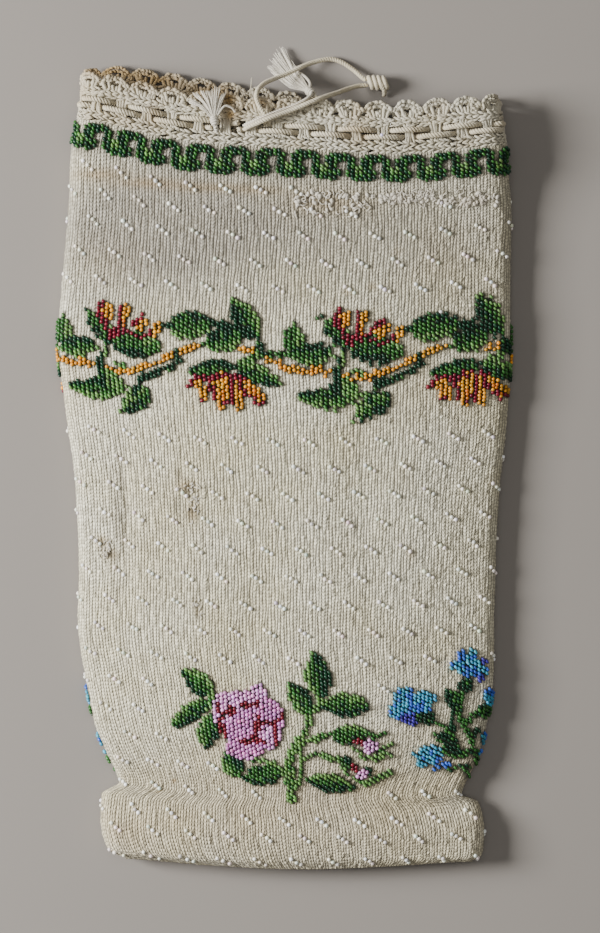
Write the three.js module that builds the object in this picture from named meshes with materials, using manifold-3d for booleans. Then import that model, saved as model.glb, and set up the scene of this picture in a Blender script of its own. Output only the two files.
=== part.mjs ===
// Knitted and beaded drawstring reticule, lying on its back.
// Millimetres. +X is the bag's right as seen from above, +Y points to the mouth, +Z is up,
// and the flat back rests on z = 0.

import * as THREE from 'three';
import { LoftGeometry } from 'three/addons/geometries/LoftGeometry.js';
import { mergeVertices } from 'three/addons/utils/BufferGeometryUtils.js';
import Module from 'manifold-3d';

// Driving dimensions
const KNIT_WALL = 1.2;
const CROCHET_WALL = 1.0;
const CLEARANCE = 0.3;
const CORD_DIAMETER = 1.4;
const CORD_SIDES = 7;

const EYELET_COUNT = 34;
const EYELET_WIDTH = 5.6;
const EYELET_BOTTOM = -2.7;
const EYELET_TOP = -7.3;
const EYELET_DEPTH = 5.0;
const BAND_TOP = -9.2;
const BAND_STEPS_PER_POST = 3;
const UPPER_CORD_ALONG = -6.3;
const LOWER_CORD_ALONG = -3.7;
const WEAVE_DEPTH = 1.8;
const WEAVE_STEPS_PER_POST = 3;
const UPPER_CORD_POSTS = { first: 7.5, last: 40.5 };
const LOWER_CORD_POSTS = { first: 6.5, last: 39.5 };

const SCALLOP_COUNT = 30;
const SCALLOP_STEPS = 5;
const SCALLOP_TIP = -13.5;
const SCALLOP_NOTCH_SHARE = 0.42;
const SCALLOP_FLARE = 0.5;

const KNOT = { x: 26.6, y: 110.7, length: 5.4, radius: 2.3, wraps: 4, waist: 0.82, sides: 12 };

// The cloth, a row for each section from the scallop tips to the base.
// along: distance down the front from the top of the knitting
// left, right: x of the two side folds
// yLeft to yRight: y of the section line at five places from the left fold to the right fold
// height, fold: thickness in the middle and at the side folds
// lift: how far the back stands above the surface
// backRise: how far the back lies further up than the front, in its left half
const COURSES = table(
  ['along', 'left', 'right', 'yLeft', 'yQuarter', 'yMiddle', 'yThird', 'yRight', 'height', 'fold', 'lift', 'backRise'],
  [
    [-13.5, -58.0, 61.1, 112.9, 107.4, 104.9, 104.3, 106.3, 11.1, 9.6, 1.4, 5.0],
    [-9.2, -58.3, 62.0, 108.9, 103.1, 100.6, 99.7, 101.7, 11.1, 9.6, 2.2, 5.0],
    [0, -59.4, 63.4, 99.7, 93.4, 91.4, 89.7, 92.3, 11.1, 9.2, 2.2, 4.6],
    [8, -61.1, 64.0, 92.3, 85.4, 83.4, 82.0, 84.3, 11.4, 8.2, 1.1, 4.0],
    [22, -62.0, 64.9, 75.4, 70.6, 69.4, 69.4, 72.6, 11.8, 6.6, 0, 2.4],
    [39.7, -63.7, 64.6, 55.4, 53.1, 51.7, 52.0, 54.3, 12.3, 5.8, 0, 0.8],
    [57.1, -65.1, 64.6, 36.9, 35.4, 34.3, 34.3, 35.4, 12.6, 5.4, 0, 0],
    [78.5, -62.9, 63.7, 16.9, 14.0, 12.9, 13.4, 15.4, 12.6, 5.2, 0, 0],
    [101.7, -60.0, 61.4, -6.0, -9.1, -10.3, -9.4, -7.4, 12.6, 5.2, 0, 0],
    [123.1, -59.1, 60.3, -28.9, -30.9, -31.7, -31.1, -29.4, 12.4, 5.2, 0, 0],
    [137.4, -59.4, 60.0, -43.7, -44.9, -46.0, -45.7, -44.6, 12.2, 5.2, 0, 0],
    [152.8, -57.4, 59.7, -58.6, -60.3, -61.4, -61.4, -60.3, 12.0, 5.2, 0, 0],
    [167.4, -54.3, 57.7, -73.7, -74.9, -76.0, -75.7, -73.7, 11.4, 5.2, 0, 0],
    [176.5, -50.6, 55.1, -82.6, -84.0, -85.1, -85.1, -83.1, 10.4, 5.2, 0, 0],
    [185.1, -47.4, 50.6, -89.7, -92.3, -93.7, -93.7, -93.1, 8.4, 5.2, 0, 0],
    [189.4, -52.6, 55.4, -93.1, -96.3, -98.0, -98.0, -95.4, 9.2, 4.6, 0, 0],
    [195.1, -52.9, 57.1, -100.3, -102.6, -103.7, -104.3, -103.1, 11.6, 6.4, 0, 0],
    [202.8, -50.6, 56.3, -108.9, -110.9, -111.4, -111.1, -110.6, 9.0, 6.6, 0.4, 0],
    [206.3, -44.3, 52.9, -111.7, -113.7, -114.9, -114.0, -112.3, 3.6, 3.0, 2.4, 0],
  ],
);
const MOUTH_ALONG = 0;
const LONGEST_STEP = 14;
const INSIDE_ALONGS = [0, 8, 22, 57.1, 101.7, 137.4, 167.4, 176.5, 185.1, 189.4, 195.1, 202.8, 204.3];
const SEAM_DROP = 0.5;
const FOLD_SPREAD = 0.65;
const DOME_POWER = 2.2;
const BACK_RISE_REACH = 0.72;
const BACK_RISE_SKEW = 0.6;
const SECTION_STEPS = 20;
const UP_STEP = 1;
const MERGE_DISTANCE = 1e-3;

// Long soft dents and ridges in the front: centre, direction, half length, half width and depth
const FOLDS = table(
  ['x', 'y', 'turn', 'length', 'width', 'depth'],
  [
    [-46, -16, 92, 30, 3.5, 1.1],
    [-38, -84, 12, 24, 4.5, 1.2],
    [44, -84, -24, 18, 3.5, 1.2],
    [30, 68, 4, 34, 6.0, 0.8],
    [-26, 64, -6, 30, 8.0, 0.7],
    [22, -6, 96, 34, 6.0, 0.6],
    [-8, -38, 80, 20, 5.0, 0.5],
  ],
);

// A free end of each cord, from its eyelet to the knot
const LEG_LEFT_ROUTE = [
  [-11.5, 96.3, 13.6], [-10.4, 97.0, 14.6], [-8.0, 97.9, 15.8], [-5.2, 99.0, 16.4], [-2.2, 100.2, 15.9],
  [0.8, 101.3, 15.2], [3.8, 102.5, 15.0], [6.8, 103.8, 14.9], [9.6, 105.0, 13.9], [12.4, 106.2, 11.3],
  [15.2, 107.4, 7.8], [18.0, 108.7, 4.5], [20.8, 109.7, 2.5], [23.4, 110.0, 1.75],
];
const LEG_RIGHT_ROUTE = [
  [-4.4, 98.2, 13.8], [-4.8, 99.2, 14.5], [-5.9, 100.9, 14.8], [-7.4, 103.2, 14.7], [-8.1, 105.6, 14.0],
  [-7.6, 107.8, 12.6], [-5.9, 109.8, 10.0], [-3.0, 111.4, 7.3], [0.4, 112.9, 5.5], [4.0, 114.7, 4.3],
  [8.0, 116.5, 2.2], [12.9, 117.6, 0.9], [16.5, 116.6, 0.9], [20.0, 114.2, 1.4], [22.0, 112.3, 2.3],
  [23.2, 111.45, 2.8],
];
const LEG_STEPS = 20;

// Each tassel: the tail of cord that carries it, its head, and a lock of threads for each row
const LOCK_COLUMNS = ['bendX', 'bendY', 'bendZ', 'tipX', 'tipY', 'tipZ'];
const TASSEL_LEFT = {
  tail: [[-19.4, 97.0, 13.4], [-19.6, 97.9, 14.6], [-20.0, 99.2, 15.1]],
  head: [-20.2, 100.0, 15.1],
  headRadius: 1.3,
  locks: table(LOCK_COLUMNS, [
    [-23.2, 102.6, 14.6, -26.9, 104.6, 14.1],
    [-22.6, 103.6, 14.7, -25.2, 106.6, 14.1],
    [-21.6, 104.0, 14.7, -23.0, 107.2, 14.0],
    [-20.5, 104.2, 14.7, -20.7, 107.6, 14.0],
    [-19.6, 104.0, 14.7, -18.9, 108.3, 13.9],
    [-18.6, 103.2, 14.6, -17.2, 106.4, 14.1],
    [-18.0, 102.2, 14.6, -15.9, 103.6, 14.1],
  ]),
};
const TASSEL_RIGHT = {
  tail: [
    [-11.9, 98.5, 13.2], [-10.8, 99.0, 14.3], [-8.5, 99.9, 15.8], [-5.8, 101.0, 16.5], [-2.8, 102.2, 16.0],
    [0.4, 103.4, 15.3], [3.2, 104.5, 15.0], [5.4, 105.5, 14.2], [6.9, 106.4, 12.6], [7.5, 107.0, 10.8],
    [7.4, 107.3, 9.4],
  ],
  head: [7.2, 107.5, 8.4],
  headRadius: 1.4,
  locks: table(LOCK_COLUMNS, [
    [1.2, 109.6, 3.0, -4.2, 114.6, 0.9],
    [1.6, 110.4, 2.8, -4.6, 116.2, 0.9],
    [2.0, 111.2, 2.7, -3.8, 117.8, 0.9],
    [2.5, 112.0, 2.6, -2.6, 119.2, 0.9],
    [3.2, 112.7, 2.6, -1.0, 120.6, 0.9],
    [4.0, 113.2, 2.8, 0.6, 117.4, 0.9],
  ]),
};
const LOCK_RADII = [0.6, 0.95, 0.4];
const LOCK_SIDES = 5;
const TAIL_STEPS_PER_POINT = 2;
const HEAD_SEGMENTS = { around: 10, down: 7 };

const LOOKS = {
  knit: { color: 0xd9cfb8, roughness: 0.95 },
  crochet: { color: 0xddd5c2, roughness: 0.95 },
  cord: { color: 0xd8ccb0, roughness: 0.85 },
  tassel: { color: 0xe6e0d2, roughness: 0.8 },
};

const wasm = await Module();
wasm.setup();

// Tables and smooth curves through them

function table(columns, rows) {
  return rows.map((row) => Object.fromEntries(columns.map((column, i) => [column, row[i]])));
}

// A cubic through rows that never overshoots them
function columnAt(rows, column, along) {
  const last = rows.length - 1;
  const clamped = Math.min(Math.max(along, rows[0].along), rows[last].along);
  let i = 0;
  while (i < last - 1 && clamped > rows[i + 1].along) i += 1;
  const slope = (k) => (rows[k + 1][column] - rows[k][column]) / (rows[k + 1].along - rows[k].along);
  const tangent = (k) => {
    if (k === 0) return slope(0);
    if (k === last) return slope(last - 1);
    const before = slope(k - 1);
    const after = slope(k);
    return before * after > 0 ? (2 * before * after) / (before + after) : 0;
  };
  const span = rows[i + 1].along - rows[i].along;
  const f = (clamped - rows[i].along) / span;
  const start = rows[i][column] * (1 + 2 * f) * (1 - f) ** 2 + tangent(i) * span * f * (1 - f) ** 2;
  return start + rows[i + 1][column] * f * f * (3 - 2 * f) + tangent(i + 1) * span * f * f * (f - 1);
}

function courseAt(along) {
  return Object.fromEntries(Object.keys(COURSES[0]).map((column) => [column, columnAt(COURSES, column, along)]));
}

// The y of a section line, a smooth curve through its five places
function lineY(course, across) {
  const places = [course.yLeft, course.yQuarter, course.yMiddle, course.yThird, course.yRight];
  const curve = new THREE.SplineCurve(places.map((y, i) => new THREE.Vector2(i / 4, y)));
  return curve.getPoint(across).y;
}

function dentAt(x, y) {
  let depth = 0;
  for (const fold of FOLDS) {
    const turn = THREE.MathUtils.degToRad(fold.turn);
    const lengthways = (x - fold.x) * Math.cos(turn) + (y - fold.y) * Math.sin(turn);
    const sideways = (y - fold.y) * Math.cos(turn) - (x - fold.x) * Math.sin(turn);
    depth += fold.depth * Math.exp(-((lengthways / fold.length) ** 2) - (sideways / fold.width) ** 2);
  }
  return depth;
}

// The cloth

// A point of the cloth's outside, or of a layer a given inset below it. across runs -1 to 1.
function clothPoint(course, isFront, across, inset) {
  const half = (course.right - course.left) / 2 - inset;
  const x = (course.left + course.right) / 2 + half * across;
  const place = (across + 1) / 2;
  const foldStart = 1 - (FOLD_SPREAD * course.fold) / half;
  const bend = Math.max(0, (Math.abs(across) - foldStart) / (1 - foldStart));
  const round = Math.sqrt(Math.max(0, 1 - bend * bend)) * (course.fold / 2 - inset);
  const edge = course.lift + course.fold / 2;
  const y = lineY(course, place);
  if (!isFront) {
    const rise = Math.sin(Math.PI * Math.min(place / BACK_RISE_REACH, 1) ** BACK_RISE_SKEW);
    return new THREE.Vector3(x, y + course.backRise * Math.max(0, rise), edge - round);
  }
  const dome = 1 - Math.abs(across) ** DOME_POWER;
  const top = (course.height - course.fold) * dome - dentAt(x, y) * dome;
  return new THREE.Vector3(x, y, edge + round + top);
}

// A closed section: across the front from left to right, then back under it
function section(along, inset) {
  const course = courseAt(along);
  const across = (i) => -Math.cos((Math.PI * i) / SECTION_STEPS);
  const points = [];
  for (let i = 0; i <= SECTION_STEPS; i += 1) points.push(clothPoint(course, true, across(i), inset));
  for (let i = SECTION_STEPS - 1; i > 0; i -= 1) points.push(clothPoint(course, false, across(i), inset));
  return points;
}

// A section closed flat: its front and back points brought together on one line, moved along Y
function seam(points, shift) {
  return points.map((point, i) => {
    const partner = points[(points.length - i) % points.length];
    return point.clone().add(partner).multiplyScalar(0.5).add(new THREE.Vector3(0, shift, 0));
  });
}

function ringCurve(along, inset) {
  return new THREE.CatmullRomCurve3(section(along, inset), true);
}

// The cloth's middle layer of the band at a share of the way round, with its outward normal
function bandFrame(along, share) {
  const turn = ((share % 1) + 1) % 1;
  const ring = ringCurve(along, CROCHET_WALL / 2);
  const higher = ringCurve(along - UP_STEP, CROCHET_WALL / 2);
  const origin = ring.getPointAt(turn);
  const tangent = ring.getTangentAt(turn);
  const up = higher.getPointAt(turn).sub(origin);
  up.addScaledVector(tangent, -up.dot(tangent)).normalize();
  const normal = new THREE.Vector3().crossVectors(tangent, up);
  return { origin, tangent, up, normal };
}

// Meshes and solids

// The same triangles with nothing but shared positions
function shared(geometry) {
  const plain = new THREE.BufferGeometry();
  plain.setAttribute('position', geometry.attributes.position);
  plain.setIndex(geometry.index);
  return mergeVertices(plain, MERGE_DISTANCE);
}

function toSolid(geometry) {
  const plain = shared(geometry);
  const vertProperties = new Float32Array(plain.attributes.position.array);
  const triVerts = new Uint32Array(plain.index.array);
  return new wasm.Manifold(new wasm.Mesh({ numProp: 3, vertProperties, triVerts }));
}

function toGeometry(solid) {
  const mesh = solid.getMesh();
  const geometry = new THREE.BufferGeometry();
  geometry.setAttribute('position', new THREE.BufferAttribute(new Float32Array(mesh.vertProperties), 3));
  geometry.setIndex(new THREE.BufferAttribute(new Uint32Array(mesh.triVerts), 1));
  geometry.computeVertexNormals();
  return geometry;
}

function fuse(geometries) {
  const [first, ...others] = geometries.map(toSolid);
  return toGeometry(others.reduce((whole, next) => whole.add(next), first));
}

// A wall between two closed rings and their inner copies
function ringWall(outerLow, outerHigh, innerHigh, innerLow) {
  return new LoftGeometry([outerLow, outerHigh, innerHigh, innerLow, outerLow], { closed: true });
}

function vectors(rows) {
  return rows.map(([x, y, z]) => new THREE.Vector3(x, y, z));
}

function cordTube(points, steps) {
  const outline = new THREE.Shape();
  for (let i = 0; i < CORD_SIDES; i += 1) {
    const angle = (2 * Math.PI * i) / CORD_SIDES;
    const x = (CORD_DIAMETER / 2) * Math.cos(angle);
    const y = (CORD_DIAMETER / 2) * Math.sin(angle);
    if (i === 0) outline.moveTo(x, y);
    else outline.lineTo(x, y);
  }
  outline.closePath();
  const extrudePath = new THREE.CatmullRomCurve3(points);
  return new THREE.ExtrudeGeometry(outline, { steps, extrudePath, bevelEnabled: false });
}

// A tapering strip along three points, a ring for each radius
function taperedLock(points, radii, sides) {
  const path = new THREE.CatmullRomCurve3(points);
  const up = new THREE.Vector3(0, 0, 1);
  const rings = radii.map((radius, i) => {
    const place = i / (radii.length - 1);
    const centre = path.getPointAt(place);
    const tangent = path.getTangentAt(place);
    const side = new THREE.Vector3().crossVectors(up, tangent).normalize();
    const over = new THREE.Vector3().crossVectors(tangent, side);
    return Array.from({ length: sides }, (_, k) => {
      const angle = (2 * Math.PI * k) / sides;
      const spread = side.clone().multiplyScalar(radius * Math.cos(angle));
      return centre.clone().add(spread).addScaledVector(over, radius * Math.sin(angle));
    });
  });
  return new LoftGeometry(rings, { closed: true, capStart: true, capEnd: true });
}

// Sub-parts

// The rows of the table with one more halfway where two lie far apart
function outsideAlongs() {
  const rows = COURSES.map((course) => course.along).filter((along) => along >= MOUTH_ALONG);
  return rows.flatMap((along, i) => {
    const next = rows[i + 1];
    return next - along > LONGEST_STEP ? [along, (along + next) / 2] : [along];
  });
}

// The knitted bag in one loft: up its outside from the base seam to the mouth, over the rim,
// and down its inside to the inner seam
function bagBody() {
  const outside = outsideAlongs().reverse().map((along) => section(along, 0));
  const inside = INSIDE_ALONGS.map((along) => section(along, KNIT_WALL));
  const outerSeam = seam(outside[0], -SEAM_DROP);
  const innerSeam = seam(inside[inside.length - 1], -SEAM_DROP);
  return shared(new LoftGeometry([outerSeam, ...outside, ...inside, innerSeam], { closed: true }));
}

function headingBand() {
  const count = EYELET_COUNT * BAND_STEPS_PER_POST;
  const ring = (along, inset) => {
    const curve = ringCurve(along, inset);
    return Array.from({ length: count }, (_, i) => curve.getPointAt(i / count));
  };
  const low = -CLEARANCE;
  const wall = ringWall(ring(low, 0), ring(BAND_TOP, 0), ring(BAND_TOP, CROCHET_WALL), ring(low, CROCHET_WALL));
  let band = toSolid(wall);
  for (let i = 0; i < EYELET_COUNT; i += 1) {
    const frame = bandFrame((EYELET_BOTTOM + EYELET_TOP) / 2, (i + 0.5) / EYELET_COUNT);
    const eyelet = new THREE.BoxGeometry(EYELET_WIDTH, EYELET_BOTTOM - EYELET_TOP, EYELET_DEPTH);
    const place = new THREE.Matrix4().makeBasis(frame.tangent, frame.up, frame.normal).setPosition(frame.origin);
    band = band.subtract(toSolid(eyelet.applyMatrix4(place)));
  }
  return toGeometry(band);
}

function scallopEdging() {
  const count = SCALLOP_COUNT * SCALLOP_STEPS;
  const rootAlong = BAND_TOP - CLEARANCE;
  const ring = (inset, isTop) => {
    const root = ringCurve(rootAlong, inset);
    const tip = ringCurve(SCALLOP_TIP, inset);
    return Array.from({ length: count }, (_, i) => {
      const share = i / count;
      const point = root.getPointAt(share);
      if (!isTop) return point;
      const arch = Math.sqrt(Math.abs(Math.sin((Math.PI * i) / SCALLOP_STEPS)));
      const reach = SCALLOP_NOTCH_SHARE + (1 - SCALLOP_NOTCH_SHARE) * arch;
      const flare = bandFrame(BAND_TOP, share).normal.multiplyScalar(SCALLOP_FLARE * arch);
      return point.lerp(tip.getPointAt(share), reach).add(flare);
    });
  };
  return ringWall(ring(0, false), ring(0, true), ring(CROCHET_WALL, true), ring(CROCHET_WALL, false));
}

// A cord threaded from one eyelet round to another: outside one post, inside the next, and in the
// cloth's middle layer halfway between them
function threadedCord(along, { first, last }, startsOutside) {
  const steps = Math.round((last - first) * WEAVE_STEPS_PER_POST);
  const sign = startsOutside ? 1 : -1;
  const points = Array.from({ length: steps + 1 }, (_, i) => {
    const post = first + i / WEAVE_STEPS_PER_POST;
    const wave = Math.round(Math.cos(Math.PI * post));
    const frame = bandFrame(along, post / EYELET_COUNT);
    return frame.origin.addScaledVector(frame.normal, sign * WEAVE_DEPTH * wave);
  });
  return cordTube(points, steps);
}

// A barrel of wraps lying along X on the surface
function loopKnot() {
  const rows = KNOT.wraps * 2;
  const profile = [new THREE.Vector2(0, -KNOT.length / 2)];
  for (let i = 0; i <= rows; i += 1) {
    const radius = KNOT.radius * (i % 2 === 1 ? 1 : KNOT.waist);
    profile.push(new THREE.Vector2(radius, KNOT.length * (i / rows - 0.5)));
  }
  profile.push(new THREE.Vector2(0, KNOT.length / 2));
  const barrel = new THREE.LatheGeometry(profile, KNOT.sides);
  return barrel.rotateZ(-Math.PI / 2).translate(KNOT.x, KNOT.y, KNOT.radius);
}

function tassel({ tail, head, headRadius, locks }) {
  const centre = new THREE.Vector3(...head);
  const knob = new THREE.SphereGeometry(headRadius, HEAD_SEGMENTS.around, HEAD_SEGMENTS.down);
  const pieces = [cordTube(vectors([...tail, head]), tail.length * TAIL_STEPS_PER_POINT)];
  pieces.push(knob.translate(centre.x, centre.y, centre.z));
  for (const lock of locks) {
    const bend = new THREE.Vector3(lock.bendX, lock.bendY, lock.bendZ);
    const tip = new THREE.Vector3(lock.tipX, lock.tipY, lock.tipZ);
    pieces.push(taperedLock([centre, bend, tip], LOCK_RADII, LOCK_SIDES));
  }
  return fuse(pieces);
}

// Assembly

const reticule = new THREE.Group();

function addPiece(name, geometry, look) {
  const mesh = new THREE.Mesh(geometry, new THREE.MeshStandardMaterial({ ...look, metalness: 0 }));
  mesh.name = name;
  reticule.add(mesh);
}

addPiece('bag_body', bagBody(), LOOKS.knit);
addPiece('heading_band', headingBand(), LOOKS.crochet);
addPiece('scallop_edging', scallopEdging(), LOOKS.crochet);
addPiece('upper_drawstring', threadedCord(UPPER_CORD_ALONG, UPPER_CORD_POSTS, false), LOOKS.cord);
addPiece('lower_drawstring', threadedCord(LOWER_CORD_ALONG, LOWER_CORD_POSTS, true), LOOKS.cord);
addPiece('loop_leg_left', cordTube(vectors(LEG_LEFT_ROUTE), LEG_STEPS), LOOKS.cord);
addPiece('loop_leg_right', cordTube(vectors(LEG_RIGHT_ROUTE), LEG_STEPS), LOOKS.cord);
addPiece('loop_knot', loopKnot(), LOOKS.cord);
addPiece('tassel_left', tassel(TASSEL_LEFT), LOOKS.tassel);
addPiece('tassel_right', tassel(TASSEL_RIGHT), LOOKS.tassel);

export default reticule;
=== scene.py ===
import math

import bmesh
import bpy
import numpy as np
from mathutils import Matrix, Vector
from mathutils.kdtree import KDTree


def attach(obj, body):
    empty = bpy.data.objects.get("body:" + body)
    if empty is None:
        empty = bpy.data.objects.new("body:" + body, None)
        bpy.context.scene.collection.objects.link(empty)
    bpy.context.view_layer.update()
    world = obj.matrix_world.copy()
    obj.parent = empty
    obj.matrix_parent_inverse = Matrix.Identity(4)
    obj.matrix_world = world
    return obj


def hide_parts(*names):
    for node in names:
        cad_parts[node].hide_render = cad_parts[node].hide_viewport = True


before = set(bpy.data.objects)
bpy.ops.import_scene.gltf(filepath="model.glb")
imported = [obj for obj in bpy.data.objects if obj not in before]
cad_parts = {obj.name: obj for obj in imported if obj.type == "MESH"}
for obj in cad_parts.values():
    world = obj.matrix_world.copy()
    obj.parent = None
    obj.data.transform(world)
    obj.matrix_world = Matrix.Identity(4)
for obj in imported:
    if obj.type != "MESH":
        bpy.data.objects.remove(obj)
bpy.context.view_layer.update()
print("frame loaded with", len(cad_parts), "nodes")

mm = 0.001
ringLength = 256.0      # once round the cloth, in millimetres
fullTurn = 2 * math.pi
dice = np.random.default_rng(1840)


def addObject(name, data):
    added = bpy.data.objects.new(name, data)
    bpy.context.scene.collection.objects.link(added)
    return added


# Camera straight above, as the picture was taken

shot = {
    "middle": (0.0043, 0.0007),     # the spot under the middle of the picture
    "seenLength": 0.2666,           # what the picture's long side takes in, at the cloth's height
    "clothHeight": 0.006,
    "distance": 1.2,
    "sensor": 36.0,
}


def setCamera():
    lens = bpy.data.cameras.new("overhead_camera")
    lens.sensor_width = shot["sensor"]
    lens.lens = shot["sensor"] * shot["distance"] / shot["seenLength"]
    lens.clip_start = 0.05
    lens.clip_end = 10.0
    camera = addObject("overhead_camera", lens)
    camera.location = (*shot["middle"], shot["clothHeight"] + shot["distance"])
    bpy.context.scene.camera = camera


setCamera()
print("camera set")


# Small helpers for chance, paths, joined copies and shader nodes

def jitter(spread, count):
    return dice.normal(0, spread, (count, 1))


def between(low, high, count):
    return dice.uniform(low, high, (count, 1))


def runLength(path):
    # how far along a path each of its points lies
    return np.concatenate([[0], np.cumsum(np.linalg.norm(np.diff(path, axis=0), axis=1))])


def pathLength(path):
    return float(runLength(path)[-1])


def evenly(path, far, at):
    return np.stack([np.interp(at, far, path[:, axis]) for axis in range(3)], 1)


def smoothPath(points, count):
    # a smooth curve through the points, cut into even steps
    spots = np.asarray(points, float)
    ends = np.vstack([2 * spots[0] - spots[1], spots, 2 * spots[-1] - spots[-2]])
    t = np.linspace(0, 1, 16, endpoint=False)[:, None]
    runs = []
    for i in range(len(spots) - 1):
        a, b, c, d = ends[i:i + 4]
        runs.append(0.5 * (2 * b + (c - a) * t + (2 * a - 5 * b + 4 * c - d) * t ** 2
                           + (3 * b - a - 3 * c + d) * t ** 3))
    line = np.vstack([*runs, spots[-1:]])
    far = runLength(line)
    return evenly(line, far, np.linspace(0, far[-1], count))


def unit(vectors):
    return vectors / np.maximum(np.linalg.norm(vectors, axis=-1, keepdims=True), 1e-12)


def closeRing(values):
    # the first column once more at the end
    return np.concatenate([values, values[:, :1]], axis=1)


def pathFrames(paths):
    # two side directions that roll as little as they can along each path
    tangents = unit(np.gradient(paths, axis=1))
    start = np.cross(tangents[:, 0], (0.31, 0.17, 0.93))
    sides = np.zeros_like(paths)
    for k in range(paths.shape[1]):
        start = unit(start - tangents[:, k] * (start * tangents[:, k]).sum(-1, keepdims=True))
        sides[:, k] = start
    return sides, np.cross(tangents, sides)


def shapeOf(bm):
    # a bmesh as an array of points and a list of faces
    bm.verts.index_update()
    points = np.array([vert.co[:] for vert in bm.verts])
    faces = [[vert.index for vert in face.verts] for face in bm.faces]
    bm.free()
    return points, faces


def meshOf(bm):
    mesh = bpy.data.meshes.new("mesh")
    bm.to_mesh(mesh)
    bm.free()
    return mesh


def tubeShape(sides, rings):
    # a straight tube of unit radius with a ring at each whole height
    bm = bmesh.new()
    bmesh.ops.create_circle(bm, cap_ends=True, segments=sides, radius=1.0)
    rim = bm.edges[:]
    for _ in range(rings - 1):
        grown = bmesh.ops.extrude_edge_only(bm, edges=rim)["geom"]
        fresh = [part for part in grown if isinstance(part, bmesh.types.BMVert)]
        rim = [part for part in grown if isinstance(part, bmesh.types.BMEdge)
               and all(vert in fresh for vert in part.verts)]
        bmesh.ops.translate(bm, verts=fresh, vec=(0, 0, 1))
    bmesh.ops.edgeloop_fill(bm, edges=rim)
    bmesh.ops.recalc_face_normals(bm, faces=bm.faces[:])
    return shapeOf(bm)


def joinCopies(places, faces):
    # one mesh of many copies: places holds the points of each copy
    copies, size = places.shape[:2]
    loops = np.concatenate([np.array(face) for face in faces])
    starts = np.concatenate([[0], np.cumsum([len(face) for face in faces])[:-1]])
    shift = np.arange(copies)[:, None]
    mesh = bpy.data.meshes.new("copies")
    mesh.vertices.add(copies * size)
    mesh.vertices.foreach_set("co", places.astype(np.float32).ravel())
    mesh.loops.add(copies * len(loops))
    mesh.loops.foreach_set("vertex_index", (loops + shift * size).astype(np.int32).ravel())
    mesh.polygons.add(copies * len(faces))
    mesh.polygons.foreach_set("loop_start", (starts + shift * len(loops)).astype(np.int32).ravel())
    mesh.update(calc_edges=True)
    mesh.validate()
    return mesh


def joinStrands(paths, radii, sides=6):
    # round strands along paths that all have the same number of points
    paths = np.asarray(paths, float)
    radii = np.broadcast_to(np.asarray(radii, float), paths.shape[:2])
    shape, faces = tubeShape(sides, paths.shape[1])
    ring = np.rint(shape[:, 2]).astype(int)
    across, over = pathFrames(paths)
    spread = shape[:, 0, None] * across[:, ring] + shape[:, 1, None] * over[:, ring]
    return joinCopies(paths[:, ring] + radii[:, ring, None] * spread, faces)


def swollenStrands(runs, strand, swell, low, high):
    # strands that swell along their length, each thicker or thinner than the next
    paths = np.concatenate(runs)
    return joinStrands(paths, strand * np.array(swell) * between(low, high, len(paths)))


def joinMeshes(meshes):
    bm = bmesh.new()
    for mesh in meshes:
        bm.from_mesh(mesh)
        bpy.data.meshes.remove(mesh)
    return meshOf(bm)


def pliedCord(path, plies, radius, pitch, sides=7):
    # plies twisted round a path, inside a given outer radius
    across, over = (axis[0] for axis in pathFrames(path[None]))
    share = {2: 0.6, 3: 0.464}[plies]       # ply radius that fills the cord
    runs = []
    for ply in range(plies):
        turn = fullTurn * (runLength(path) / pitch + ply / plies)
        offset = np.cos(turn)[:, None] * across + np.sin(turn)[:, None] * over
        runs.append(path + radius * (1 - share) * offset)
    return joinStrands(runs, radius * share * 0.98, sides)


def addPiece(name, mesh, finish, nodes=(), smooth=True):
    mesh.name = name
    mesh.polygons.foreach_set("use_smooth", np.full(len(mesh.polygons), smooth))
    mesh.materials.clear()
    mesh.materials.append(finish)
    piece = addObject(name, mesh)
    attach(piece, "root")
    if nodes:
        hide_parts(*nodes)
    return piece


def linear(hexColour):
    parts = [int(hexColour[i:i + 2], 16) / 255 for i in (1, 3, 5)]
    return [c / 12.92 if c <= 0.04045 else ((c + 0.055) / 1.055) ** 2.4 for c in parts] + [1.0]


def newFinish(name, **sockets):
    finish = bpy.data.materials.new(name)
    finish.use_nodes = True
    tree = finish.node_tree
    shader = tree.nodes["Principled BSDF"]
    for socket, value in sockets.items():
        shader.inputs[socket.replace("_", " ")].default_value = value
    return finish, tree, shader


def addNode(tree, kind, inputs, **settings):
    node = tree.nodes.new("ShaderNode" + kind)
    for name, value in settings.items():
        setattr(node, name, value)
    for socket, value in inputs.items():
        if isinstance(value, bpy.types.NodeSocket):
            tree.links.new(value, node.inputs[socket])
        else:
            node.inputs[socket].default_value = value
    return node


def calc(tree, operation, *inputs):
    return addNode(tree, "Math", dict(enumerate(inputs)), operation=operation).outputs[0]


def noise(tree, spot, scale, detail, roughness):
    inputs = {"Vector": spot, "Scale": scale, "Detail": detail, "Roughness": roughness}
    return addNode(tree, "TexNoise", inputs).outputs["Fac"]


def whiteNoise(tree, dimensions, socket, spot):
    return addNode(tree, "TexWhiteNoise", {socket: spot}, noise_dimensions=dimensions).outputs["Value"]


def remap(tree, value, low, high, first=0.0, last=1.0):
    inputs = {"Value": value, "From Min": low, "From Max": high, "To Min": first, "To Max": last}
    return addNode(tree, "MapRange", inputs).outputs[0]


def layColours(tree, base, layers):
    # colours laid over a base, each by a share of its own
    for share, colour in layers:
        inputs = {"Factor": share, 6: base, 7: linear(colour)}
        base = addNode(tree, "Mix", inputs, data_type="RGBA").outputs[2]
    return base


def bump(tree, shader, height, distance):
    node = addNode(tree, "Bump", {"Height": height, "Distance": distance, "Strength": 1.0})
    tree.links.new(node.outputs[0], shader.inputs["Normal"])


def objectSpot(tree):
    return addNode(tree, "TexCoord", {}).outputs["Object"]


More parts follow.
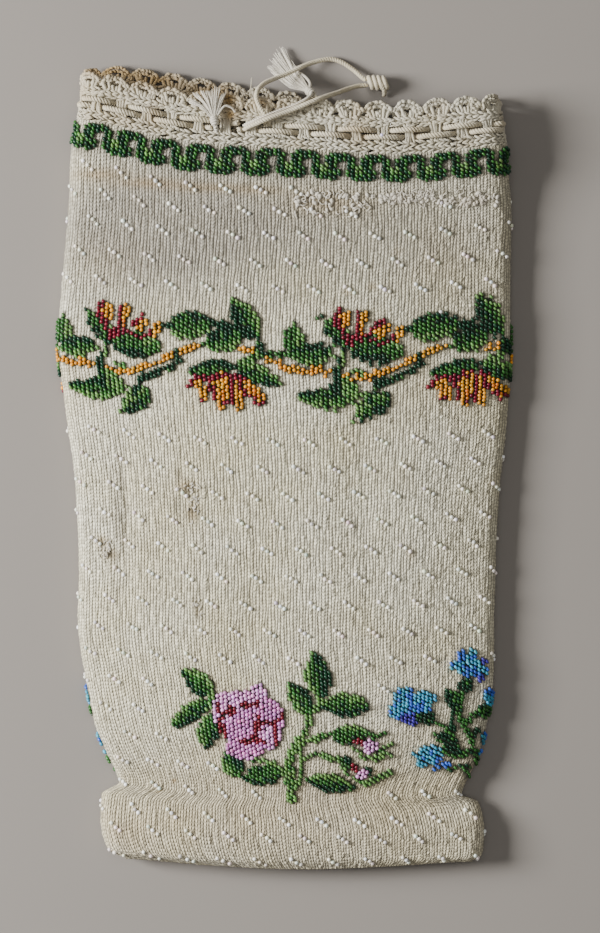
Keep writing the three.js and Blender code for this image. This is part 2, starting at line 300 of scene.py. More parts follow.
def attributeValue(tree, name, output="Fac"):
    return addNode(tree, "Attribute", {}, attribute_name=name).outputs[output]


# Finishes

yarn = {
    "cream": "#e4dab6",
    "light": "#f2ecd1",
    "grey": "#a8a293",
    "tan": "#9d7c48",
    # gap: painted shade between the stitch legs, also the tone of darker single stitches
    "gap": "#5a5140",
    # painted shade in holes, along creases and under the darned rows
    "hole": "#3b3427",
    # painted shade under and between the beads
    "beadShadeColour": "#303526",
}


def knitFinish():
    # the stitch map counts wales across and courses up
    finish, tree, shader = newFinish("cotton_knit", Roughness=0.92, Sheen_Weight=0.12)
    stitchMap = addNode(tree, "UVMap", {}, uv_map="stitches").outputs[0]
    wale, course = addNode(tree, "SeparateXYZ", {0: stitchMap}).outputs[:2]
    aside = calc(tree, "ABSOLUTE", calc(tree, "SUBTRACT", calc(tree, "FRACT", wale), 0.5))
    edge = calc(tree, "MULTIPLY", aside, 2.0)
    lobe = calc(tree, "SUBTRACT", 1.0, calc(tree, "MULTIPLY", edge, edge))
    # limbs lean out as they rise, and each wale starts at a height of its own
    start = whiteNoise(tree, "1D", "W", calc(tree, "FLOOR", wale))
    climb = calc(tree, "ADD", calc(tree, "MULTIPLY_ADD", aside, -0.7, course), start)
    bulge = calc(tree, "SINE", calc(tree, "MULTIPLY", calc(tree, "FRACT", climb), math.pi))
    height = calc(tree, "MULTIPLY", lobe, calc(tree, "MULTIPLY_ADD", bulge, 0.7, 0.3))
    cell = addNode(tree, "CombineXYZ", {0: calc(tree, "FLOOR", wale), 1: calc(tree, "FLOOR", climb)})
    speck = whiteNoise(tree, "2D", "Vector", cell.outputs[0])
    spot = objectSpot(tree)
    fibre = noise(tree, spot, 2600.0, 3.0, 0.65)
    patch = noise(tree, spot, 38.0, 4.0, 0.6)
    base = layColours(tree, linear(yarn["cream"]), (
        (remap(tree, patch, 0.35, 0.65), yarn["light"]),
        # grey dirt, and painted shade beside a crease and in the serpentine's gaps
        (attributeValue(tree, "grey"), yarn["grey"]),
        # tan stains, and painted shade under the darned rows
        (attributeValue(tree, "tan"), yarn["tan"]),
        (remap(tree, speck, 0.3, 1.0, 0.0, 0.40), yarn["gap"]),
        # painted shade in the valleys between the stitch legs, darker where the legs are low
        (remap(tree, height, 0.05, 0.55, 0.85, 0.0), yarn["gap"]),
        # painted shade in the holes of the worn patches, along the creases and under the darned rows
        (attributeValue(tree, "dark"), yarn["hole"]),
        # painted shade on the knitting under and between the beads
        (attributeValue(tree, "beaded"), yarn["beadShadeColour"]),
    ))
    tree.links.new(base, shader.inputs["Base Color"])
    bump(tree, shader, calc(tree, "MULTIPLY_ADD", fibre, 0.35, height), 0.0004)
    return finish


def spunFinish(name, colours, roughness, sheen, stain):
    # spun thread: fine fibres, slow changes of tone, yellowed patches and painted shade in the fibre grooves
    finish, tree, shader = newFinish(name, Roughness=roughness, Sheen_Weight=sheen)
    spot = objectSpot(tree)
    fibre = noise(tree, spot, 2200.0, 3.0, 0.7)
    patch = noise(tree, spot, 90.0, 4.0, 0.6)
    yellowed = noise(tree, spot, 75.0, 2.0, 0.5)
    base = layColours(tree, linear(colours[0]), (
        (remap(tree, patch, 0.3, 0.7), colours[1]),
        (remap(tree, yellowed, 0.5, 0.72, 0.0, stain), yarn["tan"]),
        # tan spots: stains, and on the heading painted shade in its hollows
        (attributeValue(tree, "tan"), yarn["tan"]),
        # painted shade in the grooves between the fibres
        (remap(tree, fibre, 0.35, 0.75, 0.5, 0.0), colours[2]),
    ))
    tree.links.new(base, shader.inputs["Base Color"])
    bump(tree, shader, fibre, 0.00012)
    return finish


def beadFinish():
    finish, tree, shader = newFinish("glass_seed_beads", Roughness=0.32, IOR=1.4)
    tree.links.new(attributeValue(tree, "beadColour", "Color"), shader.inputs["Base Color"])
    return finish


knitCotton = knitFinish()
# the third colour of each spun finish is its painted shade
crochetCotton = spunFinish("crochet_cotton", ("#c8c1aa", "#dcd7c6", "#7c7152"), 0.9, 0.15, 0.4)
darningCotton = spunFinish("darning_cotton", ("#d0c9b9", "#dfd9cb", "#80765f"), 0.92, 0.1, 0.2)
cordSilk = spunFinish("cord_silk", ("#cec4a9", "#ddd5be", "#877652"), 0.75, 0.15, 0.5)
tasselFloss = spunFinish("tassel_floss", ("#d5cebd", "#e6e1d4", "#91876f"), 0.7, 0.3, 0.2)
seedBeads = beadFinish()
print("finishes made")


# Loose cord: the two legs of the loop run from the heading to the knot

loopCords = {
    "diameter": 0.0015,
    "plies": 2,
    "pitch": 0.0015,
    "step": 0.00015,
    "left": [
        (-0.0115, 0.0963, 0.0136), (-0.0104, 0.0970, 0.0146), (-0.0080, 0.0979, 0.0158),
        (-0.0052, 0.0990, 0.0164), (-0.0022, 0.1002, 0.0159), (0.0008, 0.1013, 0.0152),
        (0.0038, 0.1025, 0.0150), (0.0068, 0.1038, 0.0149), (0.0096, 0.1050, 0.0139),
        (0.0124, 0.1062, 0.0113), (0.0152, 0.1074, 0.0078), (0.0180, 0.1087, 0.0045),
        (0.0208, 0.1097, 0.0025), (0.0234, 0.1100, 0.00175),
    ],
    "right": [
        (-0.0044, 0.0982, 0.0138), (-0.0048, 0.0992, 0.0145), (-0.0059, 0.1009, 0.0148),
        (-0.0074, 0.1032, 0.0147), (-0.0081, 0.1056, 0.0140), (-0.0076, 0.1078, 0.0126),
        (-0.0059, 0.1098, 0.0100), (-0.0030, 0.1114, 0.0073), (0.0004, 0.1129, 0.0055),
        (0.0040, 0.1147, 0.0043), (0.0080, 0.1165, 0.0022), (0.0129, 0.1176, 0.0009),
        (0.0165, 0.1166, 0.0009), (0.0200, 0.1142, 0.0014), (0.0220, 0.1123, 0.0023),
        (0.0232, 0.11145, 0.0028),
    ],
}

knot = {
    "x": 0.0266, "y": 0.1107, "z": 0.0023,
    "length": 0.0054, "radius": 0.0023, "wraps": 4, "slant": 0.0006, "strand": 0.00076,
    "endWrapDrop": 1.12,            # the first and last wraps lie a little lower
    "coreSwell": (0.45, 0.7, 0.75, 0.78, 0.78, 0.78, 0.75, 0.7, 0.45),
    "end": [(0.0276, 0.1102, 0.0040), (0.0283, 0.1090, 0.0030), (0.0285, 0.1080, 0.0014),
            (0.0284, 0.1071, 0.0008)],
    "endRadius": 0.0007,
}


def makeKnot():
    # wraps round a core that runs along X, and the short end under them
    turns = np.linspace(0, fullTurn, 25)
    rings = []
    for i in range(knot["wraps"]):
        middle = knot["length"] * ((i + 0.5) / knot["wraps"] - 0.5)
        swell = knot["radius"] - knot["strand"] * (1.0 if 0 < i < knot["wraps"] - 1 else knot["endWrapDrop"])
        rings.append(np.stack([
            knot["x"] + middle - knot["slant"] * np.cos(turns),
            knot["y"] + swell * np.cos(turns),
            knot["z"] + swell * np.sin(turns),
        ], 1))
    wraps = joinStrands(rings, knot["strand"], 8)
    reach = knot["length"] / 2 - knot["strand"] * 0.4
    ends = [(knot["x"] + side * reach, knot["y"], knot["z"]) for side in (-1, 1)]
    line = smoothPath(ends, len(knot["coreSwell"]))
    core = joinStrands(line[None], knot["radius"] * np.array(knot["coreSwell"]), 12)
    end = pliedCord(smoothPath(knot["end"], 24), loopCords["plies"], knot["endRadius"], loopCords["pitch"])
    return addPiece("loop_knot_wraps", joinMeshes([wraps, core, end]), cordSilk, ["loop_knot"])


def makeLoop():
    knotPiece = makeKnot()
    for side in ("left", "right"):
        route = loopCords[side]
        length = pathLength(smoothPath(route, 400))
        path = smoothPath(route, int(length / loopCords["step"]))
        mesh = pliedCord(path, loopCords["plies"], loopCords["diameter"] / 2, loopCords["pitch"])
        leg = addPiece("loop_cord_" + side, mesh, cordSilk, ["loop_leg_" + side])
        print("loop cord", side, round(length * 1000, 1), "mm")


makeLoop()


# The cloth that the knitting, the heading and the beads all follow

cloth = {
    # sections from the tips of the shells down to the base
    "names": ("along", "left", "right", "yLeft", "yQuarter", "yMiddle", "yThird", "yRight",
              "height", "fold", "lift", "backRise"),
    "rows": mm * np.array([
        (-13.5, -58, 61.1, 112.9, 107.4, 104.9, 104.3, 106.3, 11.1, 9.6, 1.4, 5),
        (-9.2, -58.3, 62, 108.9, 103.1, 100.6, 99.7, 101.7, 11.1, 9.6, 2.2, 5),
        (0, -59.4, 63.4, 99.7, 93.4, 91.4, 89.7, 92.3, 11.1, 9.2, 2.2, 4.6),
        (8, -61.1, 64, 92.3, 85.4, 83.4, 82, 84.3, 11.4, 8.2, 1.1, 4),
        (22, -62, 64.9, 75.4, 70.6, 69.4, 69.4, 72.6, 11.8, 6.6, 0, 2.4),
        (39.7, -63.7, 64.6, 55.4, 53.1, 51.7, 52, 54.3, 12.3, 5.8, 0, 0.8),
        (57.1, -65.1, 64.6, 36.9, 35.4, 34.3, 34.3, 35.4, 12.6, 5.4, 0, 0),
        (78.5, -62.9, 63.7, 16.9, 14, 12.9, 13.4, 15.4, 12.6, 5.2, 0, 0),
        (101.7, -60, 61.4, -6, -9.1, -10.3, -9.4, -7.4, 12.6, 5.2, 0, 0),
        (123.1, -59.1, 60.3, -28.9, -30.9, -31.7, -31.1, -29.4, 12.4, 5.2, 0, 0),
        (137.4, -59.4, 60, -43.7, -44.9, -46, -45.7, -44.6, 12.2, 5.2, 0, 0),
        (152.8, -57.4, 59.7, -58.6, -60.3, -61.4, -61.4, -60.3, 12, 5.2, 0, 0),
        (167.4, -54.3, 57.7, -73.7, -74.9, -76, -75.7, -73.7, 11.4, 5.2, 0, 0),
        (176.5, -50.6, 55.1, -82.6, -84, -85.1, -85.1, -83.1, 10.4, 5.2, 0, 0),
        (185.1, -47.4, 50.6, -89.7, -92.3, -93.7, -93.7, -93.1, 8.4, 5.2, 0, 0),
        (189.4, -52.6, 55.4, -93.1, -96.3, -98, -98, -95.4, 9.2, 4.6, 0, 0),
        (195.1, -52.9, 57.1, -100.3, -102.6, -103.7, -104.3, -103.1, 11.6, 6.4, 0, 0),
        (202.8, -50.6, 56.3, -108.9, -110.9, -111.4, -111.1, -110.6, 9, 6.6, 0.4, 0),
        (206.3, -44.3, 52.9, -111.7, -113.7, -114.9, -114, -112.3, 3.6, 3, 2.4, 0),
    ]),
    # long soft dents in the front: x, y, direction in degrees, half length, half width, depth
    "dents": (
        (-46, -16, 92, 30, 3.5, 1.1), (-38, -84, 12, 24, 4.5, 1.2), (44, -84, -24, 18, 3.5, 1.2),
        (30, 68, 4, 34, 6, 0.8), (-26, 64, -6, 30, 8, 0.7), (22, -6, 96, 34, 6, 0.6),
        (-8, -38, 80, 20, 5, 0.5),
    ),
    "foldSpread": 0.65,
    "domePower": 2.2,
    "backRiseReach": 0.72,
    "backRiseSkew": 0.6,
    "ringSteps": 120,
    "step": 0.0005,
    "columns": 832,
}


def columnAt(name, along):
    # a smooth curve through one column that never overshoots its rows
    x, y = cloth["rows"][:, 0], cloth["rows"][:, cloth["names"].index(name)]
    slope = np.diff(y) / np.diff(x)
    before, after = slope[:-1], slope[1:]
    total = np.where(before + after == 0, 1, before + after)
    inner = np.where(before * after > 0, 2 * before * after / total, 0)
    tangent = np.concatenate([slope[:1], inner, slope[-1:]])
    i = np.clip(np.searchsorted(x, along, side="right") - 1, 0, len(x) - 2)
    span = x[i + 1] - x[i]
    f = np.clip((along - x[i]) / span, 0, 1)
    start = y[i] * (1 + 2 * f) * (1 - f) ** 2 + tangent[i] * span * f * (1 - f) ** 2
    return start + y[i + 1] * f * f * (3 - 2 * f) + tangent[i + 1] * span * f * f * (f - 1)


def dentAt(x, y):
    depth = np.zeros_like(x)
    for centreX, centreY, turn, length, width, deep in cloth["dents"]:
        c, s = math.cos(math.radians(turn)), math.sin(math.radians(turn))
        dx, dy = x / mm - centreX, y / mm - centreY
        depth += deep * mm * np.exp(-((dx * c + dy * s) / length) ** 2 - ((dy * c - dx * s) / width) ** 2)
    return depth


def clothSection(along):
    # one closed section: across the front from the left fold, then back under it
    row = {name: float(columnAt(name, along)) for name in cloth["names"]}
    across = -np.cos(np.linspace(0, math.pi, cloth["ringSteps"] + 1))
    place = (across + 1) / 2
    half = (row["right"] - row["left"]) / 2
    x = (row["left"] + row["right"]) / 2 + half * across
    spots = [row[name] for name in ("yLeft", "yQuarter", "yMiddle", "yThird", "yRight")]
    i = np.minimum((place * 4).astype(int), 3)
    f = place * 4 - i
    padded = np.array([spots[0], *spots, spots[-1]])
    a, b, c, d = padded[i], padded[i + 1], padded[i + 2], padded[i + 3]
    y = (b + 0.5 * (c - a) * f + (a - 2.5 * b + 2 * c - 0.5 * d) * f ** 2
         + (1.5 * (b - c) + 0.5 * (d - a)) * f ** 3)
    foldStart = 1 - cloth["foldSpread"] * row["fold"] / half
    bend = np.maximum(0, (np.abs(across) - foldStart) / (1 - foldStart))
    roundness = np.sqrt(np.maximum(0, 1 - bend ** 2)) * row["fold"] / 2
    edge = row["lift"] + row["fold"] / 2
    dome = 1 - np.abs(across) ** cloth["domePower"]
    frontZ = edge + roundness + (row["height"] - row["fold"] - dentAt(x, y)) * dome
    rise = np.sin(math.pi * np.minimum(place / cloth["backRiseReach"], 1) ** cloth["backRiseSkew"])
    front = np.stack([x, y, frontZ], 1)
    back = np.stack([x, y + row["backRise"] * np.maximum(0, rise), edge - roundness], 1)
    return np.vstack([front, back[-2::-1]])


def layCloth():
    top, bottom = cloth["rows"][0, 0], cloth["rows"][-1, 0]
    alongs = np.linspace(top, bottom, round((bottom - top) / cloth["step"]) + 1)
    shares = np.linspace(0, 1, cloth["columns"] + 1)
    points = np.zeros((len(alongs), len(shares), 3))
    for k, along in enumerate(alongs):
        ring = clothSection(along)
        far = runLength(ring)
        points[k] = evenly(ring, far / far[-1], shares)
    down = np.gradient(points, axis=0)
    around = np.roll(points[:, :-1], -1, axis=1) - np.roll(points[:, :-1], 1, axis=1)
    cloth["alongs"] = alongs
    cloth["points"] = points
    cloth["normals"] = unit(np.cross(down, closeRing(around)))


def sampleCloth(field, along, share):
    alongs, grid = cloth["alongs"], cloth[field]
    row = np.clip((along - alongs[0]) / (alongs[1] - alongs[0]), 0, len(alongs) - 1.001)
    column = (share % 1.0) * cloth["columns"]
    i, j = row.astype(int), column.astype(int)
    f, g = (row - i)[..., None], (column - j)[..., None]
    upper = grid[i, j] * (1 - g) + grid[i, j + 1] * g
    lower = grid[i + 1, j] * (1 - g) + grid[i + 1, j + 1] * g
    return upper * (1 - f) + lower * f


def clothAt(along, share, out=0.0):
    # a spot on the cloth, or out from it along its normal
    along, share, out = np.broadcast_arrays(*(np.asarray(value, float) for value in (along, share, out)))
    return sampleCloth("points", along, share) + out[..., None] * sampleCloth("normals", along, share)


def wrapCloth(points, wales, courses, layers):
    # a grid closed round into a tube, with the stitch map and the layers that the finish reads
    rows, columns = points.shape[0] - 1, points.shape[1] - 1
    bm = bmesh.new()
    stitchMap = bm.loops.layers.uv.new("stitches")
    vertLayers = {name: bm.verts.layers.float.new(name) for name in layers}
    bmesh.ops.create_grid(bm, x_segments=columns, y_segments=rows, size=1.0)
    spots = {}
    for vert in bm.verts:
        spots[vert] = (round((vert.co.y + 1) / 2 * rows), round((vert.co.x + 1) / 2 * columns))
    for face in bm.faces:
        for loop in face.loops:
            row, column = spots[loop.vert]
            loop[stitchMap].uv = (wales[column], courses[row])
    for vert, place in spots.items():
        vert.co = points[place]
        for name, layer in vertLayers.items():
            vert[layer] = layers[name][place]
    bmesh.ops.remove_doubles(bm, verts=bm.verts[:], dist=1e-6)
    return meshOf(bm)


def frontSpots(places):
    # where on the front cloth each x and y lies
    half = cloth["columns"] // 2
    grid = cloth["points"][:, :half, :2].reshape(-1, 2)
    nearest = np.array([((grid - place) ** 2).sum(1).argmin() for place in places])
    return cloth["alongs"][nearest // half], (nearest % half) / cloth["columns"]


layCloth()
print("cloth laid out")


# Stains and wear, and painted shade in creases, holes and hollows: x, y, half width and half height in
# millimetres, and strength of each soft spot

def spotAmount(points, spots):
    amount = np.zeros(points.shape[:-1])
    for x, y, wide, tall, strength in spots:
        dx, dy = points[..., 0] / mm - x, points[..., 1] / mm - y
        amount += strength * np.exp(-(dx / wide) ** 2 - (dy / tall) ** 2)
    return np.clip(amount, 0, 1)


def layTanSpots(mesh, spots):
    points = np.zeros(len(mesh.vertices) * 3, np.float32)
    mesh.vertices.foreach_get("co", points)
    amount = spotAmount(points.reshape(-1, 3), spots)
    mesh.attributes.new("tan", "FLOAT", "POINT").data.foreach_set("value", amount.astype(np.float32))


# Seed beads: shapes painted on a lattice over the front, and carried round to the back

beads = {
    "around": 208, "row": 0.00110, "reach": 0.2055, "frontShare": 0.503,
    "width": 0.00084, "height": 0.00168, "depth": 0.00108,
    "round": (0.00114, 0.00122),    # the width and height of the rounder beads
    "rounder": "pbivgorw",
    # how many beads of a tone are mixed up with its neighbour, and which with which
    "mixed": 0.11,
    "mixes": ("dm", "md", "lm", "cu", "uc"),
    "lean": 0.95,                   # how far the beads lean over, and how unevenly
    "leanSpread": 0.15,
    "proud": 0.00036,               # how far a bead's middle stands off the cloth
    "backProud": -0.00072,          # under the back they lie level with the surface
    "straySpread": (0.09, 0.08),    # how far they stray down and across, in rows and columns
    "sizeSpread": 0.05,
    "toneSpread": 0.17,
    "tintSpread": 0.05,
    # the charts' letters: dark, mid and light green, gold, orange, red, wine, pink, blush, cyan, blue, navy,
    # ivory and violet
    "colours": {
        "d": "#143522", "m": "#2f5c28", "l": "#5c8345", "g": "#c98a24", "o": "#b9661a", "r": "#6d1528",
        "w": "#6a1b28", "p": "#c480b6", "b": "#d49aca", "c": "#4493ae", "u": "#385db4", "n": "#3d338c",
        "i": "#ebe8dd", "v": "#d4cde6",
    },
}
letters = "".join(beads["colours"])


def beadLattice():
    rows = np.arange(round(beads["reach"] / beads["row"]))[:, None]
    columns = np.arange(beads["around"])[None]
    along = (rows + 0.5 + 0.5 * (columns % 2)) * beads["row"]
    share = np.broadcast_to((columns + 0.5) / beads["around"], along.shape)
    spots = clothAt(along, share) / mm
    front = share < beads["frontShare"]
    return {"along": along, "share": share, "x": spots[..., 0], "y": spots[..., 1], "front": front}


lattice = beadLattice()


def paint(chart, where, letter):
    chart[where & lattice["front"]] = letters.index(letter)


def paintLeaf(chart, baseX, baseY, tipX, tipY, width, bands):
    # a pointed oval from base to tip; its bands of colour go from the left of that way to the right
    runX, runY = tipX - baseX, tipY - baseY
    length = math.hypot(runX, runY)
    dx, dy = lattice["x"] - baseX, lattice["y"] - baseY
    t = (dx * runX + dy * runY) / length ** 2
    side = (dy * runX - dx * runY) / length
    half = width / 2 * np.sin(math.pi * np.clip(t, 0, 1) ** 0.85) ** 0.8 + 0.25
    inside = (t > -0.02) & (t < 1.02) & (np.abs(side) <= half)
    band = np.clip(((1 - side / half) / 2 * len(bands)).astype(int), 0, len(bands) - 1)
    for i, letter in enumerate(bands):
        paint(chart, inside & (band == i), letter)


def paintStroke(chart, width, letter, *line):
    # a line of that width through the x and y of each spot
    spots = np.reshape(line, (-1, 2))
    for (ax, ay), (runX, runY) in zip(spots, np.diff(spots, axis=0)):
        ahead = (lattice["x"] - ax) * runX + (lattice["y"] - ay) * runY
        t = np.clip(ahead / (runX ** 2 + runY ** 2 + 1e-9), 0, 1)
        gap = np.hypot(lattice["x"] - ax - t * runX, lattice["y"] - ay - t * runY)
        paint(chart, gap <= max(width / 2, 0.7), letter)


def paintOval(chart, x, y, wide, tall, letter):
    paint(chart, ((lattice["x"] - x) / wide) ** 2 + ((lattice["y"] - y) / tall) ** 2 <= 1, letter)


# The motifs, in millimetres on the front. Stems and strokes: width, letter, then x and y of each spot.
# Leaves: x and y of base and tip, width and bands. Ovals: x, y, half width, half height and letter.

# One repeat of the garland, from the left fold to the middle
garland = {
    "second": 52,                   # the column where the second repeat starts, and how far it is stretched
    "stretch": 1.075,
    "stems": (
        (1.7, "g", -64.4, 31.6, -61.2, 30.4, -58, 30.2, -54.4, 30), (1.7, "g", -59.9, 32.7, -57.6, 31.4),
        (1.7, "g", -50.3, 28.6, -45.7, 27.7, -42.5, 28.4, -38, 29.7, -34.3, 31.3, -31.1, 32.9, -27.5, 34.3,
         -23.2, 35.4),
        (1.7, "g", -17, 34.7, -13.8, 34.3, -10.2, 33.8, -8.4, 33.4),
        (1.7, "g", -5.6, 31.1, -2, 30.4, -0.2, 28.8, 1.6, 28),
    ),
    "leaves": (
        (-63.2, 35.4, -63.2, 44, 4.2, "ml"), (-64.2, 34.8, -53.4, 35.2, 6, "dml"),
        (-46.6, 21.8, -61.8, 24, 5.6, "lmd"), (-38.5, 23, -46.8, 16.4, 6.6, "dmll"),
        (-46.8, 22.8, -50.8, 28, 3.4, "ll"), (-11.6, 38.8, -23.2, 35.6, 7.6, "lmdd"),
        (-7.6, 37, -15.4, 48.6, 7, "ddml"), (-33.9, 40.8, -19.8, 41.3, 7.4, "dmml"),
        (-48.8, 35.6, -57, 46.2, 4.6, "dml"), (-49.6, 36.6, -35, 34.4, 7.2, "mmd"),
        (-41, 35.6, -34.6, 34.6, 4.4, "lm"), (-27, 27.6, -13.6, 29.4, 5.4, "dmm"),
        (-14.2, 29.6, -1.2, 24.2, 5, "lmd"),
    ),
    "strokes": (
        (1.7, "d", -52.6, 32.5, -52.6, 28.4, -52.1, 25.6), (1.5, "l", -51.2, 35.9, -50.6, 33.6, -50.5, 32),
        (1.1, "l", -49, 30.2, -45.4, 29.2), (1.3, "l", -47.6, 22, -45.3, 23.4, -42.6, 22.6),
        (1.7, "d", -30.7, 33.1, -30.2, 30.6, -32.5, 28.8, -35.7, 28.4),
        (2.4, "d", -35.7, 28, -38, 27, -40.7, 26.3), (1.8, "d", -40.7, 26.5, -41.6, 24.3, -42.3, 22),
        (1.6, "d", -20, 41.6, -17, 41.3, -14.7, 40.2), (2, "d", -7.9, 37, -6.8, 34.8, -7, 32.9),
        (1.1, "m", -6.1, 32.5, -1.8, 32.7, 1.2, 32.5), (1.8, "l", -12.6, 30.2, -10, 31.6, -7.6, 32.2),
        (2.8, "g", -50.5, 46.4, -50.7, 43.4), (2.2, "g", -45.2, 46, -45.5, 44, -46.2, 41.2),
        (1.4, "d", -35.4, 40.2, -33.5, 41.2), (1.4, "o", -46.2, 42.3, -46.3, 41.2),
        (2.4, "g", -39.6, 42.1, -41.4, 40.2), (2.4, "g", -36, 40.8, -37.2, 38.2),
        (2.7, "g", -25.4, 25.1, -24, 23.3, -22.7, 20.2), (3.9, "g", -18.3, 25.8, -18.2, 22.4, -17.9, 18.9),
        (1.4, "o", -18, 22, -17.4, 20), (2.9, "g", -14.3, 24.2, -13.6, 20.9, -12.7, 17.7),
        (3.1, "g", -11.3, 24.2, -8.5, 22.4, -6.3, 19.9), (1.4, "o", -9.6, 22.6, -7.6, 20.6),
        (1.7, "r", -52, 47.7, -53, 45, -51.9, 42.6, -50.5, 40.2, -49.7, 37.9),
        (1.5, "r", -46.6, 46.4, -47.5, 43.2, -47.7, 40.7, -47.9, 38.4),
        (1.6, "r", -49.8, 38.4, -47.6, 38.4), (1.5, "r", -40.7, 43.4, -42.2, 42.2, -43.5, 41),
        (1.5, "r", -47.3, 38.8, -45.4, 39.4, -42.6, 38, -39.8, 37.5, -38.5, 39.2),
        (1.6, "r", -27.1, 23.9, -26.5, 25.1, -25.4, 26.3, -23.1, 26.2, -21.3, 25.3, -19.8, 26.4, -16.5,
         26.9, -14, 26, -12.1, 25.7),
        (1.5, "r", -21.5, 25.3, -20.7, 23.4, -20.3, 19.5), (1.5, "r", -15.6, 25.9, -15.5, 22.4, -15, 19.3),
        (1.4, "r", -12.7, 25.3, -11.9, 22.9, -10.2, 20.9), (1.5, "r", -9.1, 20.4, -8, 18.7, -6.5, 18.6),
        (1.4, "r", -23.4, 19.7, -23.2, 19.7), (1.4, "r", -16.8, 18.7, -16.6, 18.7),
    ),
}

rose = {
    "stems": (
        (1.4, "l", -21.8, -62.8, -20.6, -64.7, -21.2, -66.6, -22.6, -68.8),
        (2, "l", 10.4, -64.9, 9.8, -66.9, 7.2, -68.9, 6.6, -72.1, 6, -75.3, 3.6, -77.7, 2.6, -80.3),
        (2.6, "l", 4.2, -76.6, 2.4, -80.3, 1, -83.3, 1.4, -86.8, 1.6, -94.4),
        (1.6, "l", 4.4, -80.1, 4.8, -84.4, 4.6, -87.4, 3.2, -90.6),
        (1.3, "l", -9.8, -82.9, -6.4, -82.9, -2.8, -83.8, -0.8, -86.5),
        (1.4, "l", 4.4, -78.5, 7.2, -77.3, 10.4, -76.1, 13.6, -75.3),
        (1.5, "l", 6, -82.1, 9.2, -81, 12.8, -82.3, 16, -82.9, 17.6, -86.6),
        (1.3, "m", 25.4, -76.2, 28.1, -75.5), (1.4, "l", 26.9, -80.1, 30.5, -78.5),
        (1.3, "l", 20, -79.7, 22.5, -82.1, 25.7, -82.5, 28.9, -81, 30.5, -82),
        (1.5, "l", 19.6, -88.2, 23.3, -89.8, 26.5, -88.2, 29.7, -86.5),
        (1.1, "d", 23.6, -85.2, 24.3, -86.4),
    ),
    "leaves": (
        (-20.8, -64, -29, -57, 6.2, "dml"), (-22.4, -65.6, -32.2, -73.4, 5, "dml"),
        (-20.9, -70, -22.6, -79.6, 6.2, "dml"), (-16.8, -80.4, -12.8, -87.8, 5.8, "dml"),
        (-0.8, -86.3, -12.6, -88.2, 5.2, "dmm"), (10.4, -65, 8.2, -51.6, 7, "lmdd"),
        (7.4, -70.2, 1.2, -60.6, 5.4, "lmd"), (10.6, -67.2, 24.4, -67.2, 6.6, "lmd"),
        (13, -75.6, 24, -75.2, 5.2, "lmm"), (6.2, -88.4, 20, -90.6, 5, "lmd"),
        (16.2, -82, 19.6, -85.6, 2.6, "dm"),
    ),
    "ovals": (
        (-10, -71.4, 9.4, 7.4, "p"), (-17.4, -68, 3.6, 4.8, "b"), (-11, -78.4, 5.8, 4.4, "p"),
        (-3.2, -71.2, 3, 5, "p"), (-7.6, -63.6, 2.4, 2.6, "b"), (-3.6, -76.4, 2.6, 3.4, "b"),
        (-13.6, -66, 4.6, 3.2, "b"), (-15.4, -69, 1.4, 1.6, "w"), (21, -77.6, 1.6, 1.3, "w"),
        (24.4, -79, 2.3, 1.9, "b"), (20, -85.2, 1.3, 1.5, "w"), (22.2, -86.7, 1.8, 1.4, "b"),
    ),
    "strokes": (
        (1.1, "w", -19.1, -67.1, -18.5, -69, -17.4, -70.7), (1.7, "w", -18.4, -71.8, -16.8, -76),
        (1.1, "w", -12.3, -67.2, -10.4, -67.3), (1.1, "w", -8.5, -66.6, -7.9, -66.7),
        (1.8, "w", -7.3, -70.5, -7.8, -74.2, -8.8, -76.8),
        (1.1, "w", -12.8, -77.3, -11, -77.7, -8.6, -76.9, -6.2, -77.6),
        (1.2, "w", -0.4, -70.2, -2.5, -71.9, -5.6, -72.2), (1.5, "w", -2.9, -73, -2.4, -75.4, -2.1, -78.4),
    ),
}

